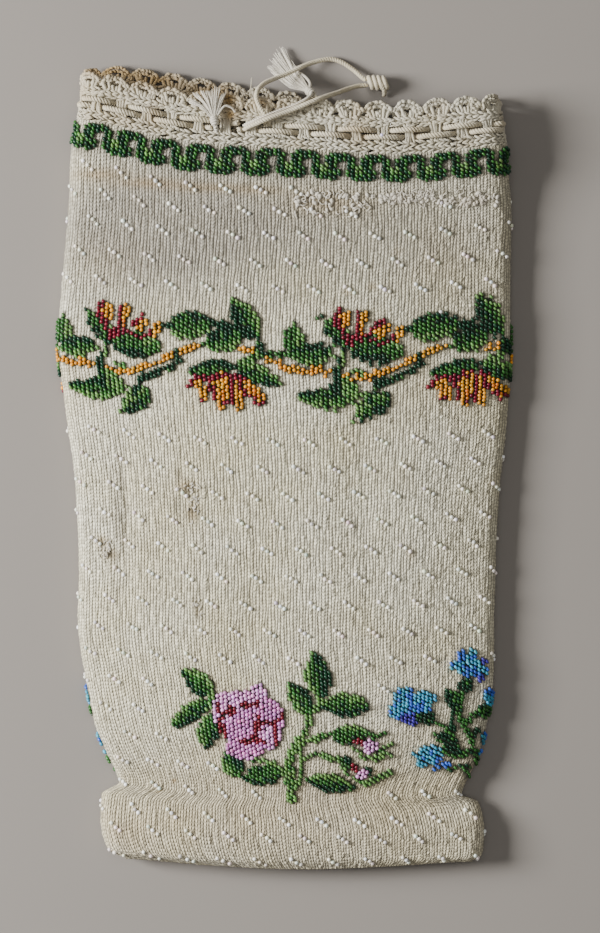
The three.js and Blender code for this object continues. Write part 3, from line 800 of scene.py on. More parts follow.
cornflower = {
    "stems": (
        (1.7, "m", 51.3, -62.9, 50.1, -64.9, 49.7, -68.1, 49.9, -71.3, 51.7, -73.7, 53.3, -77.7, 54.1,
         -80.9, 54.8, -83.7),
        (2, "d", 47.9, -68.7, 47.5, -71.6, 47.3, -74.5),
        (1.4, "m", 42.7, -72.3, 45.3, -73.7, 47.3, -75.4, 49, -77.6),
        (1.4, "m", 51.7, -73.3, 53.3, -70.5, 55.7, -68.7), (1.4, "d", 55.3, -74.1, 53.5, -76.7),
        (1.2, "m", 46.9, -86.1, 49.7, -85.1, 52.1, -85.2), (1.1, "m", 51.8, -86.4, 52.4, -87.4),
        (1.6, "m", 50, -81.4, 53.6, -80.4),
    ),
    "leaves": (
        (48.9, -68.9, 46.6, -62.4, 3.4, "dm"), (49.9, -79.3, 42.2, -75.4, 3.4, "md"),
        (44.8, -79.8, 51, -81.9, 3.2, "dm"),
    ),
    "ovals": (
        (34, -66.4, 3.8, 4.4, "c"), (39.6, -66, 2.6, 3.4, "c"), (31.2, -69.4, 1.8, 2.2, "c"),
        (35.8, -71, 3.2, 2, "n"), (35.8, -66, 0.8, 3.4, "u"), (38.4, -68, 1.6, 1.7, "u"),
        (42.3, -65.2, 0.9, 0.9, "c"), (40.2, -70.9, 2.8, 1.8, "d"), (52.4, -56, 3.5, 3.3, "c"),
        (50.6, -53, 1.1, 1.5, "u"), (53.9, -52.8, 1.3, 1.6, "c"), (47.8, -56.2, 1.5, 1.2, "c"),
        (56.6, -57.4, 1.6, 1.3, "c"), (56.2, -59.8, 1.5, 1.2, "n"), (57.2, -55, 1, 0.8, "n"),
        (51.6, -57.4, 1.2, 1.6, "u"), (54.4, -58.4, 1.2, 1.2, "u"), (51.5, -61.5, 2.3, 1.9, "d"),
        (41.6, -81.8, 3.6, 3, "c"), (37.2, -81.6, 1.4, 1, "c"), (39, -84, 1.4, 1.1, "c"),
        (43.2, -85, 1.4, 1.1, "u"), (46, -84.3, 1.3, 1.1, "u"), (43.6, -82.6, 1, 1.2, "u"),
        (56.8, -69.2, 1.9, 1.9, "m"), (58.4, -65.2, 1.3, 2.8, "c"), (58.8, -64, 0.9, 1.4, "u"),
        (56.9, -76.9, 1, 1.8, "c"), (56.1, -81.2, 0.9, 0.9, "c"),
    ),
}


def paintMotifs(*motifs):
    # each layer lies over the one before
    chart = np.full(lattice["x"].shape, -1)
    brushes = {"stems": paintStroke, "leaves": paintLeaf, "ovals": paintOval, "strokes": paintStroke}
    for layer, brush in brushes.items():
        for motif in motifs:
            for row in motif.get(layer, ()):
                brush(chart, *row)
    return chart


def repeatGarland(chart):
    columns = np.arange(beads["around"])
    source = np.rint((columns - garland["second"]) / garland["stretch"]).astype(int)
    second = np.where(source >= 0, chart[:, np.clip(source, 0, beads["around"] - 1)], -1)
    return np.where(chart >= 0, chart, second)


def chartBeads(chart):
    # the back shows the same as the front, half a turn on
    front = np.where(lattice["front"], chart, -1)
    chart = np.where(front >= 0, front, np.roll(front, beads["around"] // 2, axis=1))
    rows, columns = np.nonzero(chart >= 0)
    charted = chart[rows, columns]
    colour = charted.copy()
    mixed = dice.random(len(colour)) < beads["mixed"]
    for letter, other in beads["mixes"]:
        colour[mixed & (charted == letters.index(letter))] = letters.index(other)
    return lattice["along"][rows, columns], lattice["share"][rows, columns], colour


# The serpentine under the heading, charted: one repeat, d dark, m mid and l light
serpentine = {
    "chart": (
        ".mddmd..",
        "mdmdmdm.",
        "ddm..dm.",
        "ldm..dml",
        "lmdm.mdl",
        "mdmd.mdm",
        "dmd...dm",
    ),
    "top": 0.0004,
    "row": 0.00112,
    "firstColumn": 4,
}


def serpentineBeads():
    along, share, colour = [], [], []
    for column in range(beads["around"]):
        for row, line in enumerate(serpentine["chart"]):
            letter = line[(column - serpentine["firstColumn"]) % len(line)]
            if letter != ".":
                along.append(serpentine["top"] + serpentine["row"] * (row + 0.5 + 0.3 * (column % 2)))
                share.append((column + 0.5) / beads["around"])
                colour.append(letters.index(letter))
    return np.array(along), np.array(share), np.array(colour)


# White triples over the ground: each bead of three lies below and right of the one before
triples = {
    "step": (1.34, 0.84),
    "clear": 2.3,
    "stand": 0.45,
    # how many lie around, then how far down and where across the first bead of each row lies
    "parts": (
        (26, ((11.5, -28.2), (17.5, -22.9), (24.2, -26.2), (32.1, -29.9), (39.5, -23.6))),
        (25, tuple((83.0 + 7.76 * k, 5.6 - 3.00 * k) for k in range(13))),
        (21, ((183.9, -9.1), (191.0, -1.5), (195.6, 4.4), (202.6, 1.9))),
    ),
    # left, right, low and high of where they are worn away, and single beads with how proud they stand
    "worn": ((6.0, 66.0, 76.5, 84.0), (21.0, 66.0, 72.5, 77.0)),
    "strays": ((27.4, 94.6, "v", 5.0), (44.6, 44.6, "i", 0.45), (44.3, 75.8, "i", 0.45),
               (45.6, 75.2, "i", 0.45), (47.2, 74.6, "i", 0.45)),
}


def shareAt(along, x):
    # the share round the front at which the cloth reaches an x
    shares = np.linspace(0.02, 0.48, 461)
    return float(np.interp(x, clothAt(along, shares)[:, 0], shares))


def tripleBeads(taken):
    along, share = [], []
    steps = np.arange(3)
    for count, rows in triples["parts"]:
        for down, x in rows:
            start = shareAt(down * mm, x * mm)
            for k in range(count):
                alongs = down + triples["step"][1] * steps
                shares = start + k / count + triples["step"][0] * steps / ringLength
                aside = (taken[1][:, None] - shares % 1) * ringLength
                gap = np.hypot(taken[0][:, None] / mm - alongs, aside).min()
                spot = clothAt(alongs[1] * mm, shares[1]) / mm
                worn = any(a < spot[0] < b and c < spot[1] < d for a, b, c, d in triples["worn"])
                front = shares[1] % 1 < 0.5
                if gap > triples["clear"] and not (worn and front):
                    along.extend(alongs * mm)
                    share.extend(shares % 1)
    x, y, stray, proud = zip(*triples["strays"])
    strays = frontSpots(mm * np.stack([x, y], 1))
    colour = [letters.index(letter) for letter in ("i",) * len(along) + stray]
    stands = [triples["stand"]] * len(along) + list(proud)
    return np.append(along, strays[0]), np.append(share, strays[1]), np.array(colour), np.array(stands)


def beadShape():
    bm = bmesh.new()
    bmesh.ops.create_uvsphere(bm, u_segments=8, v_segments=4, radius=0.5)
    bmesh.ops.rotate(bm, verts=bm.verts[:], cent=(0, 0, 0), matrix=Matrix.Rotation(math.pi / 2, 3, "Y"))
    return shapeOf(bm)


def makeBeads(name, along, share, colour, stand=1.0):
    shape, faces = beadShape()
    count = len(along)
    along = along + dice.normal(0, beads["straySpread"][0] * beads["row"], count)
    share = share + dice.normal(0, beads["straySpread"][1] / beads["around"], count)
    facing = sampleCloth("normals", along, share)
    spots = clothAt(along, share)
    ahead = clothAt(along, share + 0.002) - spots
    across = unit(ahead - facing * (ahead * facing).sum(1, keepdims=True))
    up = np.cross(facing, across)
    lean = dice.normal(beads["lean"], beads["leanSpread"], (count, 1))
    across, up = unit(across + lean * up), unit(up - lean * across)
    proud = beads["proud"] * stand + (beads["backProud"] - beads["proud"]) * np.maximum(0, -facing[:, 2])
    size = dice.normal(1.0, beads["sizeSpread"], (count, 1, 1))
    rounder = np.isin(colour, [letters.index(letter) for letter in beads["rounder"]])
    wide = np.where(rounder, beads["round"][0], beads["width"])[:, None, None]
    tall = np.where(rounder, beads["round"][1], beads["height"])[:, None, None]
    places = (shape[None, :, 0, None] * wide * across[:, None]
              + shape[None, :, 1, None] * tall * up[:, None]
              + shape[None, :, 2, None] * beads["depth"] * facing[:, None]) * size
    places = places + (spots + proud[:, None] * facing)[:, None]
    mesh = joinCopies(places, faces)
    palette = np.array([linear(colourCode) for colourCode in beads["colours"].values()])
    tone = np.ones((count, 4))
    tone[:, :3] = np.exp(jitter(beads["toneSpread"], count) + dice.normal(0, beads["tintSpread"], (count, 3)))
    colours = np.repeat(palette[colour] * tone, len(shape), axis=0)
    layer = mesh.attributes.new("beadColour", "FLOAT_COLOR", "POINT")
    layer.data.foreach_set("color", np.clip(colours, 0, 1).astype(np.float32).ravel())
    addPiece(name, mesh, seedBeads)
    print(name, count, "beads")


def makeAllBeads():
    motifs = {
        "serpentine_beads": serpentineBeads(),
        "garland_beads": chartBeads(repeatGarland(paintMotifs(garland))),
        "spray_beads": chartBeads(paintMotifs(rose, cornflower)),
    }
    for name, motif in motifs.items():
        makeBeads(name, *motif)
    taken = [np.concatenate([motif[k] for motif in motifs.values()]) for k in range(2)]
    makeBeads("white_triples", *tripleBeads(taken))
    return taken


motifBeads = makeAllBeads()


# The knitted bag

knit = {
    "wales": 276,
    "columns": 364,
    "course": 0.00097,
    "wall": 0.0012,
    "backLift": 0.0006,             # the beads under the back hold the knitting up
    "frontShare": 0.505,            # the wear and the painted shade are on the front alone
    "insideRows": 12,
    "seamDrop": 0.0005,
    "unevenness": 0.00006,
    "wander": 0.22,                 # how far a wale strays sideways, in columns
    "wanderLength": 0.024,
    "pulledDepth": 0.0007,
    "beadReach": 0.95,              # how far the shade under a bead reaches, and over what it fades, in mm
    "beadFade": 0.3,
}

wearAndShade = {
    # tan stains, with painted shade on the knitting under the darned rows
    "tan": (
        (-28.1, -4.9, 3, 1.7, 0.6), (-30, -2, 1.2, 1.4, 0.25), (-26.2, -12.5, 1.8, 2.6, 0.55),
        (-52.3, -20.7, 1.8, 1.7, 0.65), (-49.5, -24.5, 2, 1.6, 0.6), (-25, -40, 1.2, 2.4, 0.35),
        (33, 77, 3, 1.4, 0.4), (12, 75.7, 11, 3.4, 0.4), (-53, 84, 8, 1.6, 0.55),
        (-39, 81.5, 10, 1.4, 0.55), (-22, 80, 12, 1.3, 0.5), (-7, 79.2, 8, 1.2, 0.35),
        (-50, 60, 10, 6, 0.14), (0, -98, 60, 18, 0.42), (10, -72, 45, 22, 0.05), (45, 60, 12, 12, 0.12),
        (24.8, 51.9, 1.2, 1, 0.5), (17.8, 50.2, 1.2, 1, 0.4), (31.8, 62, 1.4, 1.6, 0.25),
        (35.9, -24.5, 1.4, 2, 0.4), (-31.7, -89.1, 0.6, 0.6, 0.9), (-35.7, -92, 0.5, 0.5, 0.8),
        (50, -84, 8, 6, 0.18), (-46, -105, 8, 6, 0.25),
    ),
    # grey dirt, with painted shade beside the left crease and in the gaps of the serpentine
    "grey": (
        (0, 72, 75, 18, 0.7), (30, 58, 45, 16, 0.2), (-40, 66, 30, 22, 0.8), (-47.5, -12, 1.6, 16, 0.5),
        (-55, 93.5, 12, 4, 0.6), (-35, 90.5, 14, 4, 0.6), (-12, 88, 16, 4, 0.6), (15, 86.5, 20, 4, 0.6),
        (45, 86.8, 20, 4, 0.6), (-30, -20, 20, 30, 0.06),
    ),
    # painted shade: holes in the worn patches, thin lines along the creases and dents, and the knitting under
    # the darned rows
    "dark": (
        (-30, -1, 1, 1.6, 0.55), (-27.2, -6, 1.2, 2.2, 0.6), (-30.2, -10.5, 1, 2.2, 0.55),
        (-26, -12.5, 1, 1.4, 0.5), (-52.2, -21, 0.9, 1.4, 0.5), (-49.6, -24.5, 1.2, 1.6, 0.55),
        (-25.1, -39.2, 0.9, 1.8, 0.55), (-24.6, -41.5, 0.7, 1, 0.45), (-46.6, -1, 0.5, 5, 0.45),
        (-45.5, -15, 0.5, 10, 0.6), (6.6, 76.3, 1, 0.8, 0.65), (12.9, 75.4, 1, 0.8, 0.65),
        (20, 72.9, 1.2, 0.8, 0.7), (-9, -20, 0.4, 20, 0.18), (22, 2, 0.4, 18, 0.25),
        (23, -28, 0.4, 14, 0.22),
    ),
}


def shadeUnderBeads(along, share):
    # painted shade, one under the middle of a bead, falling to none beyond its edge
    tree = KDTree(len(motifBeads[0]))
    for i, (down, around) in enumerate(zip(*motifBeads)):
        tree.insert((down / mm, around * ringLength, 0), i)
    tree.balance()
    spots = zip(along.ravel() / mm, share.ravel() * ringLength)
    gaps = np.array([tree.find((down, around, 0))[2] for down, around in spots])
    return np.clip((knit["beadReach"] - gaps) / knit["beadFade"], 0, 1).reshape(along.shape)


def makeKnit():
    columns = knit["columns"]
    column = np.arange(columns + 1)
    bottom = cloth["rows"][-1, 0]
    courses = np.arange(0, bottom, knit["course"])[::-1]
    start = closeRing(dice.uniform(0, fullTurn, (2, columns)))
    turn = fullTurn * courses[:, None] / knit["wanderLength"]
    stray = np.sin(turn + start[0]) + 0.7 * np.sin(2.7 * turn + start[1])
    shares = (column + knit["wander"] * stray) / columns
    alongs = np.broadcast_to(courses[:, None], shares.shape)
    outside = clothAt(alongs, shares)
    facing = sampleCloth("normals", alongs, shares)
    front = column < columns * knit["frontShare"]
    layers = {kind: spotAmount(outside, spots) * front for kind, spots in wearAndShade.items()}
    layers["beaded"] = shadeUnderBeads(alongs, shares)
    uneven = closeRing(dice.normal(0, knit["unevenness"], (len(courses), columns)))
    lift = knit["backLift"] * np.maximum(0, -facing[..., 2])
    out = uneven - lift - knit["pulledDepth"] * layers["dark"]
    outside = outside + out[..., None] * facing
    insideAlongs = np.linspace(0, bottom - knit["wall"] * 1.6, knit["insideRows"])
    inside = clothAt(insideAlongs[:, None], column / columns, -knit["wall"])
    drop = np.array((0, -knit["seamDrop"], 0))
    outerSeam = (outside[:1] + outside[:1, ::-1]) / 2 + drop
    innerSeam = (inside[-1:] + inside[-1:, ::-1]) / 2 + drop
    points = np.concatenate([outerSeam, outside, inside, innerSeam])
    rows = np.concatenate([courses[:1], courses, insideAlongs, insideAlongs[-1:]]) / knit["course"]
    plain = np.zeros((len(insideAlongs) + 1, columns + 1))
    layers = {kind: np.concatenate([amount[:1], amount, plain]) for kind, amount in layers.items()}
    mesh = wrapCloth(points, column * knit["wales"] / columns, -rows, layers)
    addPiece("knitted_bag", mesh, knitCotton, ["bag_body"], smooth=False)
    print("knit", len(mesh.polygons), "faces")


makeKnit()


# Darned rows under the heading, knotted lumps, loose curls, and frayed ends at the worn places

darning = {
    # left, right, low and high, how many, then length, rise and strand radius, in millimetres
    "bands": (
        (3, 22.5, 72.4, 78.6, 34, 1, 0.4, 0.46), (22.5, 42.3, 75.4, 78.6, 26, 1, 0.4, 0.44),
        (42.3, 61, 75.2, 78.4, 30, 1.1, 0.4, 0.44), (3, 23.1, 72.4, 79, 40, 2, 0.5, 0.16),
        (29, 42, 75.8, 79, 80, 1.7, 0.4, 0.15), (44, 60, 75.2, 79, 24, 1.8, 0.5, 0.16),
        (-30, -25.5, -7, -3, 10, 1.2, 0.3, 0.15), (-27.5, -24, -15.5, -7.5, 16, 1.2, 0.3, 0.17),
        (-53, -48.5, -26.2, -20.5, 14, 1.2, 0.3, 0.16), (-26.2, -23.2, -41.8, -36.5, 9, 1.2, 0.3, 0.16),
    ),
}


def darnBand(left, right, low, high, count, length, rise, strand):
    length, rise, strand = length * mm, rise * mm, strand * mm
    places = np.stack([dice.uniform(left, right, count), dice.uniform(low, high, count)], 1)
    along, share = frontSpots(places * mm)
    turn = between(0, math.pi, count)
    reach = length * between(0.6, 1.2, count)
    t = np.linspace(-1, 1, 7)[None]
    ahead = reach * t / 2
    aside = reach * 0.4 * jitter(1, count) * (1 - t * t)
    alongs = along[:, None] + ahead * np.sin(turn) + aside * np.cos(turn)
    shares = share[:, None] + (ahead * np.cos(turn) - aside * np.sin(turn)) / (ringLength * mm)
    lift = rise * between(0.5, 1.2, count) * (1 - t ** 4) - strand
    return swollenStrands([clothAt(alongs, shares, lift + strand * 0.6)], strand, 1.0, 0.75, 1.25)


def makeDarning():
    mesh = joinMeshes([darnBand(*band) for band in darning["bands"]])
    addPiece("darned_loops", mesh, darningCotton)
    print("darning", len(mesh.polygons), "faces")


makeDarning()


# Crocheted heading: chevrons, posts with open eyelets, a chain, and the shells above

heading = {
    "wall": 0.001,
    "posts": 34,
    "postLow": -0.0026,
    "postHigh": -0.0078,
    "postStrands": (-0.0015, -0.0005, 0.0005, 0.0015),
    "postRadius": 0.00046,
    "postStray": 0.00016,
    "postRing": -0.005,             # where their spacing is measured
    # stitches around, middle, height and strand radius of each row of slanting limbs
    "rows": (
        (152, -0.0023, 0.0018, 0.00036), (152, -0.0007, 0.0016, 0.00036),
        (130, -0.0076, 0.0013, 0.00036), (150, -0.0087, 0.0015, 0.00042),
    ),
    "limbStray": (0.00017, 0.15),   # how far limbs stray up, and sideways in stitches
    "limbSwell": (0.6, 1.0, 1.0, 0.55),
    "shells": 30,
    "shellRoot": -0.0092,
    "shellTip": -0.0135,
    "shellNotch": 0.38,
    "shellFlare": 0.0004,
    "fanReach": (0.9, 0.9, 0.5, 0.5, 0.9, 0.9),
    "fanStray": (0.022, 0.0002),    # sideways in shells, and out
    "fanStrand": 0.00054,
    "fanSwell": (0.8, 1.0, 1.05, 1.0, 0.8),
    # how far up the shell, links and strand radius of each chain that arches over it
    "arches": ((1.0, 9, 0.00056), (0.72, 7, 0.00046)),
    "archAhead": (-0.35, 0.1, 0.55, 1.05),
    "archLean": (-0.0003, 0.0001, 0.00028, -0.0001),
    "archRise": (-0.05, 0.03, 0.03, -0.05),
    "archStray": (0.014, 0.00014, 0.035),   # sideways in shells, out, and up as a share of the shell
    "archSwell": (0.6, 1.05, 1.05, 0.6),
    "lumps": 9,
    "lumpLow": -0.0089,
    "lumpBand": 0.0019,
    "lumpLength": 0.0007,
    "lumpRise": (-0.0003, 0.0001, 0.0001, -0.0003),
    "lumpStrand": 0.00042,
    "lumpSwell": (0.6, 1.0, 1.0, 0.6),
    # partly tan stain, partly painted shade on the inside of the back shells at the left and in the hollows
    # of the shells near the middle
    "tanSpots": (
        (-51, 114.2, 9.5, 2.6, 0.95), (-37, 111.4, 9, 3.2, 0.9), (-22, 108.2, 9, 3.2, 0.75),
        (-48, 101, 15, 8, 0.26), (-15, 102, 6, 5, 0.45), (-3, 104, 5, 4, 0.35), (5, 105, 15, 4, 0.15),
        (-16, 105, 1.6, 1.6, 0.6), (-15.4, 100.5, 1.5, 1.4, 0.6), (-7.1, 104, 1.6, 1.2, 0.5),
        (42, 100.5, 6, 3, 0.18),
    ),
    "looseEnd": ((-9.7, 105, 10.5), (-9.8, 107.5, 9.8), (-9.6, 109.6, 8.6), (-9.5, 111.7, 7)),
    "looseStrand": 0.00016,
}


def slantingLimbs(count, middle, tall, strand):
    # limbs on both sides of a row's middle line, on both faces of the fabric
    start = np.arange(count)[:, None]
    t = np.array([0.0, 0.35, 0.7, 1.0])[None]
    wall, (strayUp, strayAside) = heading["wall"], heading["limbStray"]
    runs = []
    for side in (-1, 1):
        for face in (-1, 1):
            along = middle + side * tall * (0.05 + 0.40 * t) + jitter(strayUp, count)
            share = (start + 0.25 - 1.3 * t + jitter(strayAside, count)) / count
            out = -wall / 2 + face * wall * 0.36 * np.sin(math.pi * (0.15 + 0.7 * t))
            runs.append(clothAt(along, share, out))
    return swollenStrands(runs, strand, heading["limbSwell"], 0.7, 1.15)


def makePosts():
    count, low, high = heading["posts"], heading["postLow"], heading["postHigh"]
    post = np.arange(count)[:, None]
    t = np.linspace(0, 1, 8)[None]
    mouth = pathLength(clothAt(heading["postRing"], np.linspace(0, 1, 400)))
    runs = []
    for shift in heading["postStrands"]:
        pinch = 1 - 0.35 * np.sin(math.pi * t)
        share = post / count + (shift * pinch + jitter(heading["postStray"], count)) / mouth
        out = -heading["wall"] / 2 + 0.00012 * np.sin(9 * t + 5 * post + 900 * shift)
        runs.append(clothAt(low + (high - low) * t, share, out))
    return swollenStrands(runs, heading["postRadius"], 1.0, 0.85, 1.15)


def shellTop(share, reachScale, out):
    arch = np.abs(np.sin(math.pi * share * heading["shells"])) ** 0.75
    reach = (heading["shellNotch"] + (1 - heading["shellNotch"]) * arch) * reachScale
    along = heading["shellRoot"] + (heading["shellTip"] - heading["shellRoot"]) * reach
    return clothAt(along, share, out - heading["wall"] / 2 + heading["shellFlare"] * arch * reachScale)


def makeFans():
    count, strands = heading["shells"], len(heading["fanReach"])
    strayAside, strayOut = heading["fanStray"]
    shell = np.arange(count)[:, None]
    t = np.linspace(0, 1, 5)[None]
    runs = []
    for i, far in enumerate(heading["fanReach"]):
        f = (i + 0.5) / strands
        spread = 0.5 + (f - 0.5) * (0.62 + 0.36 * t) + jitter(strayAside, count)
        reach = far * between(0.85, 1.0, count)
        runs.append(shellTop((shell + spread) / count, reach * t, jitter(strayOut, count) * t))
    return swollenStrands(runs, heading["fanStrand"], heading["fanSwell"], 0.8, 1.15)


def makeArch(height, links, strand):
    count = heading["shells"]
    strayAside, strayOut, strayUp = heading["archStray"]
    shell = np.arange(count)[:, None]
    runs = []
    for i in range(links):
        ahead = ((i + np.array(heading["archAhead"])) / links - 0.5) * (0.4 + 0.6 * height)
        f = 0.5 + ahead + jitter(strayAside, count)
        lean = heading["archLean"] + jitter(strayOut, count)
        reach = height + jitter(strayUp, count) + heading["archRise"]
        runs.append(shellTop((shell + f) / count, reach, lean))
    return swollenStrands(runs, strand, heading["archSwell"], 0.82, 1.18)


def makeLumps():
    count = heading["shells"] * heading["lumps"]
    turn = between(0, math.pi, count)
    reach = heading["lumpLength"] * np.linspace(-1, 1, 4)[None]
    down = heading["lumpLow"] - between(0, heading["lumpBand"], count) + reach * np.sin(turn)
    share = between(0, 1, count) + reach * np.cos(turn) / (ringLength * mm)
    rise = -heading["wall"] / 2 + jitter(0.0003, count) + heading["lumpRise"]
    return swollenStrands([clothAt(down, share, rise)], heading["lumpStrand"], heading["lumpSwell"], 0.8, 1.2)


def makeHeading():
    rows = [slantingLimbs(*row) for row in heading["rows"]]
    band = joinMeshes([*rows, makePosts()])
    # stubby fans under chains that arch over them, with loose lumps between and one loose end
    shells = [makeFans(), *(makeArch(*arch) for arch in heading["arches"]), makeLumps()]
    loose = smoothPath(mm * np.array(heading["looseEnd"]), 14)
    shells = joinMeshes([*shells, joinStrands(loose[None], heading["looseStrand"], 5)])
    for name, mesh, node in (("heading", band, "heading_band"), ("shells", shells, "scallop_edging")):
        layTanSpots(mesh, heading["tanSpots"])
        addPiece("crochet_" + name, mesh, crochetCotton, [node])
        print("crochet", name, len(mesh.polygons), "faces")


makeHeading()


# Drawstrings threaded through the eyelets

drawstrings = {
    "diameter": 0.00172,
    "plies": 3,
    "pitch": 0.0026,
    "depth": 0.0018,
    "stepsPerPost": 6,
    "rest": 0.45,                   # how far out the cord lies halfway between two posts
    "foldReach": 0.02,              # near the folds the cord stays inside
    "step": 0.0003,
    "upper": {"along": -0.0060, "first": 7.5, "last": 40.5, "swing": -1},
    "lower": {"along": -0.0042, "first": 6.5, "last": 39.5, "swing": 1},
}


def makeDrawstring(name):
    run, rest = drawstrings[name], drawstrings["rest"]
    steps = round((run["last"] - run["first"]) * drawstrings["stepsPerPost"])
    post = run["first"] + np.arange(steps + 1) / drawstrings["stepsPerPost"]
    swing = np.cos(math.pi * post) * run["swing"]
    wave = rest + np.where(swing > 0, 1 - rest, 1 + rest) * swing
    share = post / heading["posts"]
    fold = np.clip(1 - np.abs((share + 0.25) % 0.5 - 0.25) / drawstrings["foldReach"], 0, 1)
    wave = wave - fold * np.maximum(0, wave)
    spots = clothAt(run["along"], share, -heading["wall"] / 2 + drawstrings["depth"] * wave)
    length = pathLength(smoothPath(spots, 3000))
    path = smoothPath(spots, int(length / drawstrings["step"]))
    mesh = pliedCord(path, drawstrings["plies"], drawstrings["diameter"] / 2, drawstrings["pitch"], 6)
    addPiece("drawstring_" + name, mesh, cordSilk, [name + "_drawstring"])
    print("drawstring", name, round(pathLength(path) * 1000), "mm")


makeDrawstring("upper")
makeDrawstring("lower")


# Tassels on the short ends of the cords, with their places in millimetres

tassels = {
    "left": {
        "tail": (
            (-19.4, 96.2, 13.4), (-19.6, 96.9, 14.6), (-19.9, 98, 15.2),
        ),
        "head": (-20, 98.8, 15.2), "headRadius": 0.0013,
        # where each lock bends, and its tip
        "locks": (
            (-23.2, 102.6, 14.6, -26.9, 104.6, 14.1), (-22.6, 103.6, 14.7, -25.2, 106.6, 14.1),
            (-21.6, 104, 14.7, -23, 107.2, 14), (-20.5, 104.2, 14.7, -20.7, 107.6, 14),
            (-19.6, 104, 14.7, -18.9, 108.3, 13.9), (-18.6, 103.2, 14.6, -17.2, 106.4, 14.1),
        ),
        "strands": 2, "strand": 0.00024, "hairs": 12, "hair": 0.00008, "spread": 0.00055,
        "cordRadius": 0.0007,
        "tanSpots": ((-15, 102, 2, 2, 0.25),),
        "loop": (
            (-19.6, 99, 15), (-18.9, 100.6, 15), (-17.1, 102.9, 14.7), (-15.2, 102.6, 14.3),
            (-14, 101.3, 13.8),
        ),
        "loopRadius": 0.00034,
    },
    "right": {
        "tail": (
            (-11.7, 97.5, 12.8), (-10.6, 98, 14), (-8.3, 98.9, 15.3), (-5.5, 100, 15.9),
            (-2.5, 101.2, 15.4), (0.5, 102.3, 14.7), (3.4, 103.5, 14.5), (5.8, 104.8, 13.8),
            (7.2, 106, 12.2), (7.6, 106.9, 10.5), (7.4, 107.3, 9.2),
        ),
        "head": (7.2, 107.5, 8.4), "headRadius": 0.0014,
        "locks": (
            (1.2, 109.6, 3, -3.6, 114.2, 0.9), (1.6, 110.4, 2.8, -4, 115.6, 0.9),
            (2, 111.2, 2.7, -3.4, 117.4, 0.9), (2.5, 112, 2.6, -2.4, 119, 0.9),
            (3.2, 112.7, 2.6, -1, 120.6, 0.9), (4, 113.2, 2.8, 0.6, 117.4, 0.9),
        ),
        "strands": 6, "strand": 0.00019, "hairs": 12, "hair": 0.00009, "spread": 0.00055,
        "cordRadius": 0.00055,
        "tanSpots": ((-6, 100, 6, 3, 0.3), (3, 103.5, 4.5, 2.5, 0.3)),
        "loop": (
            (6.8, 108, 8), (7.2, 110, 6.2), (6.2, 111.8, 4.5), (4.5, 113.3, 3),
        ),
        "loopRadius": 0.00045,
    },
    "wraps": 4,
    "wrapStrand": 0.00036,
    "taper": np.array((1, 1, 1, 1, 1, 1, 1, 0.9, 0.6)),
}


def makeLocks(plan, head):
    threads, radii = [], []
    for lock in mm * np.array(plan["locks"]):
        for i in range(plan["strands"] + plan["hairs"]):
            thick = i < plan["strands"]
            turn = dice.uniform(0, fullTurn)
            reach = plan["spread"] * math.sqrt(dice.uniform(0, 1)) * (0.7 if thick else 1.2)
            spread = np.array((math.cos(turn), 0.3 * math.sin(turn), abs(math.sin(turn)) * 0.8)) * reach
            bend = lock[:3] + spread
            tip = lock[3:] + spread * (1.5, 1.5, 0.35) + dice.normal(0, 0.0003, 3) * (1, 1, 0.15)
            start = head + spread * 0.5
            line = [start, (start + bend) / 2 + spread * 0.3, bend, tip]
            threads.append(smoothPath(line, len(tassels["taper"])))
            radii.append((plan["strand"] if thick else plan["hair"]) * tassels["taper"])
    return joinStrands(threads, radii, 5)


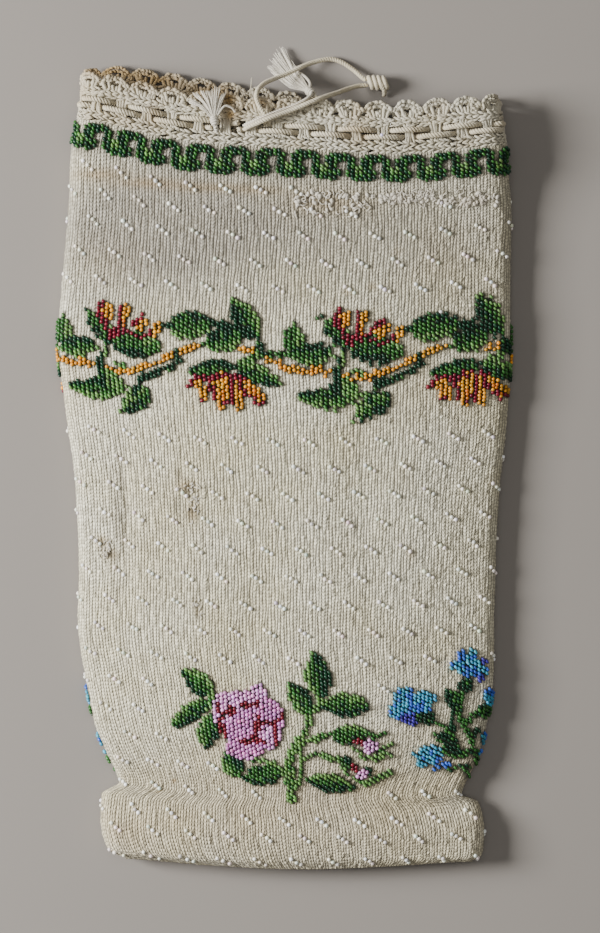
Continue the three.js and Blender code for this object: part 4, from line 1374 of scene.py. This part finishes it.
def makeWraps(plan, head):
    toward = unit(mm * np.mean(plan["locks"], axis=0)[:3] - head)
    across = unit(np.cross(toward, (0, 0, 1)))
    over = np.cross(across, toward)
    turns = np.linspace(0, fullTurn, 19)[:, None]
    last = tassels["wraps"] - 1
    rings = []
    for i in range(tassels["wraps"]):
        middle = head + toward * plan["headRadius"] * (i / last * 1.5 - 0.75)
        wide = plan["headRadius"] * (0.72 if 0 < i < last else 0.58)
        rings.append(middle + wide * (np.cos(turns) * across + np.sin(turns) * over))
    return joinStrands(rings, tassels["wrapStrand"])


def makeTassel(side):
    plan = tassels[side]
    head = mm * np.array(plan["head"])
    line = smoothPath(mm * np.array([*plan["tail"], plan["head"]]), 160)
    tail = pliedCord(line, loopCords["plies"], plan["cordRadius"], loopCords["pitch"])
    loop = joinStrands(smoothPath(mm * np.array(plan["loop"]), 24)[None], plan["loopRadius"], 7)
    mesh = joinMeshes([tail, makeLocks(plan, head), loop, makeWraps(plan, head)])
    layTanSpots(mesh, plan["tanSpots"])
    addPiece("tassel_" + side + "_floss", mesh, tasselFloss, ["tassel_" + side])
    print("tassel", side, len(mesh.polygons), "faces")


makeTassel("left")
makeTassel("right")


# Floor and light

studio = {
    "floor": "#87817a",
    "floorDrop": 0.0002,
    "key": {"place": (-0.97, 0.12, 0.51), "size": 0.42, "power": 37.0},
    "fill": {"place": (0.2, 0.1, 1.5), "size": 1.4, "power": 7.0},
    "air": ("#e9e7e4", 0.18),
}


def makeStudio():
    bm = bmesh.new()
    bmesh.ops.create_grid(bm, x_segments=1, y_segments=1, size=2.0)
    bmesh.ops.translate(bm, verts=bm.verts[:], vec=(0, 0, -studio["floorDrop"]))
    floor = addObject("floor", meshOf(bm))
    floor.data.name = "floor"
    finish = newFinish("pale_floor", Roughness=0.85, Base_Color=linear(studio["floor"]))[0]
    floor.data.materials.append(finish)
    for name in ("key", "fill"):
        plan = studio[name]
        lamp = bpy.data.lights.new(name + "_light", "AREA")
        lamp.size = plan["size"]
        lamp.energy = plan["power"]
        light = addObject(name + "_light", lamp)
        light.location = plan["place"]
        light.rotation_euler = (-Vector(plan["place"])).to_track_quat("-Z", "Y").to_euler()
    world = bpy.data.worlds.new("studio_air")
    world.use_nodes = True
    air = world.node_tree.nodes["Background"].inputs
    air["Color"].default_value = linear(studio["air"][0])
    air["Strength"].default_value = studio["air"][1]
    bpy.context.scene.world = world


makeStudio()
print("studio lit")
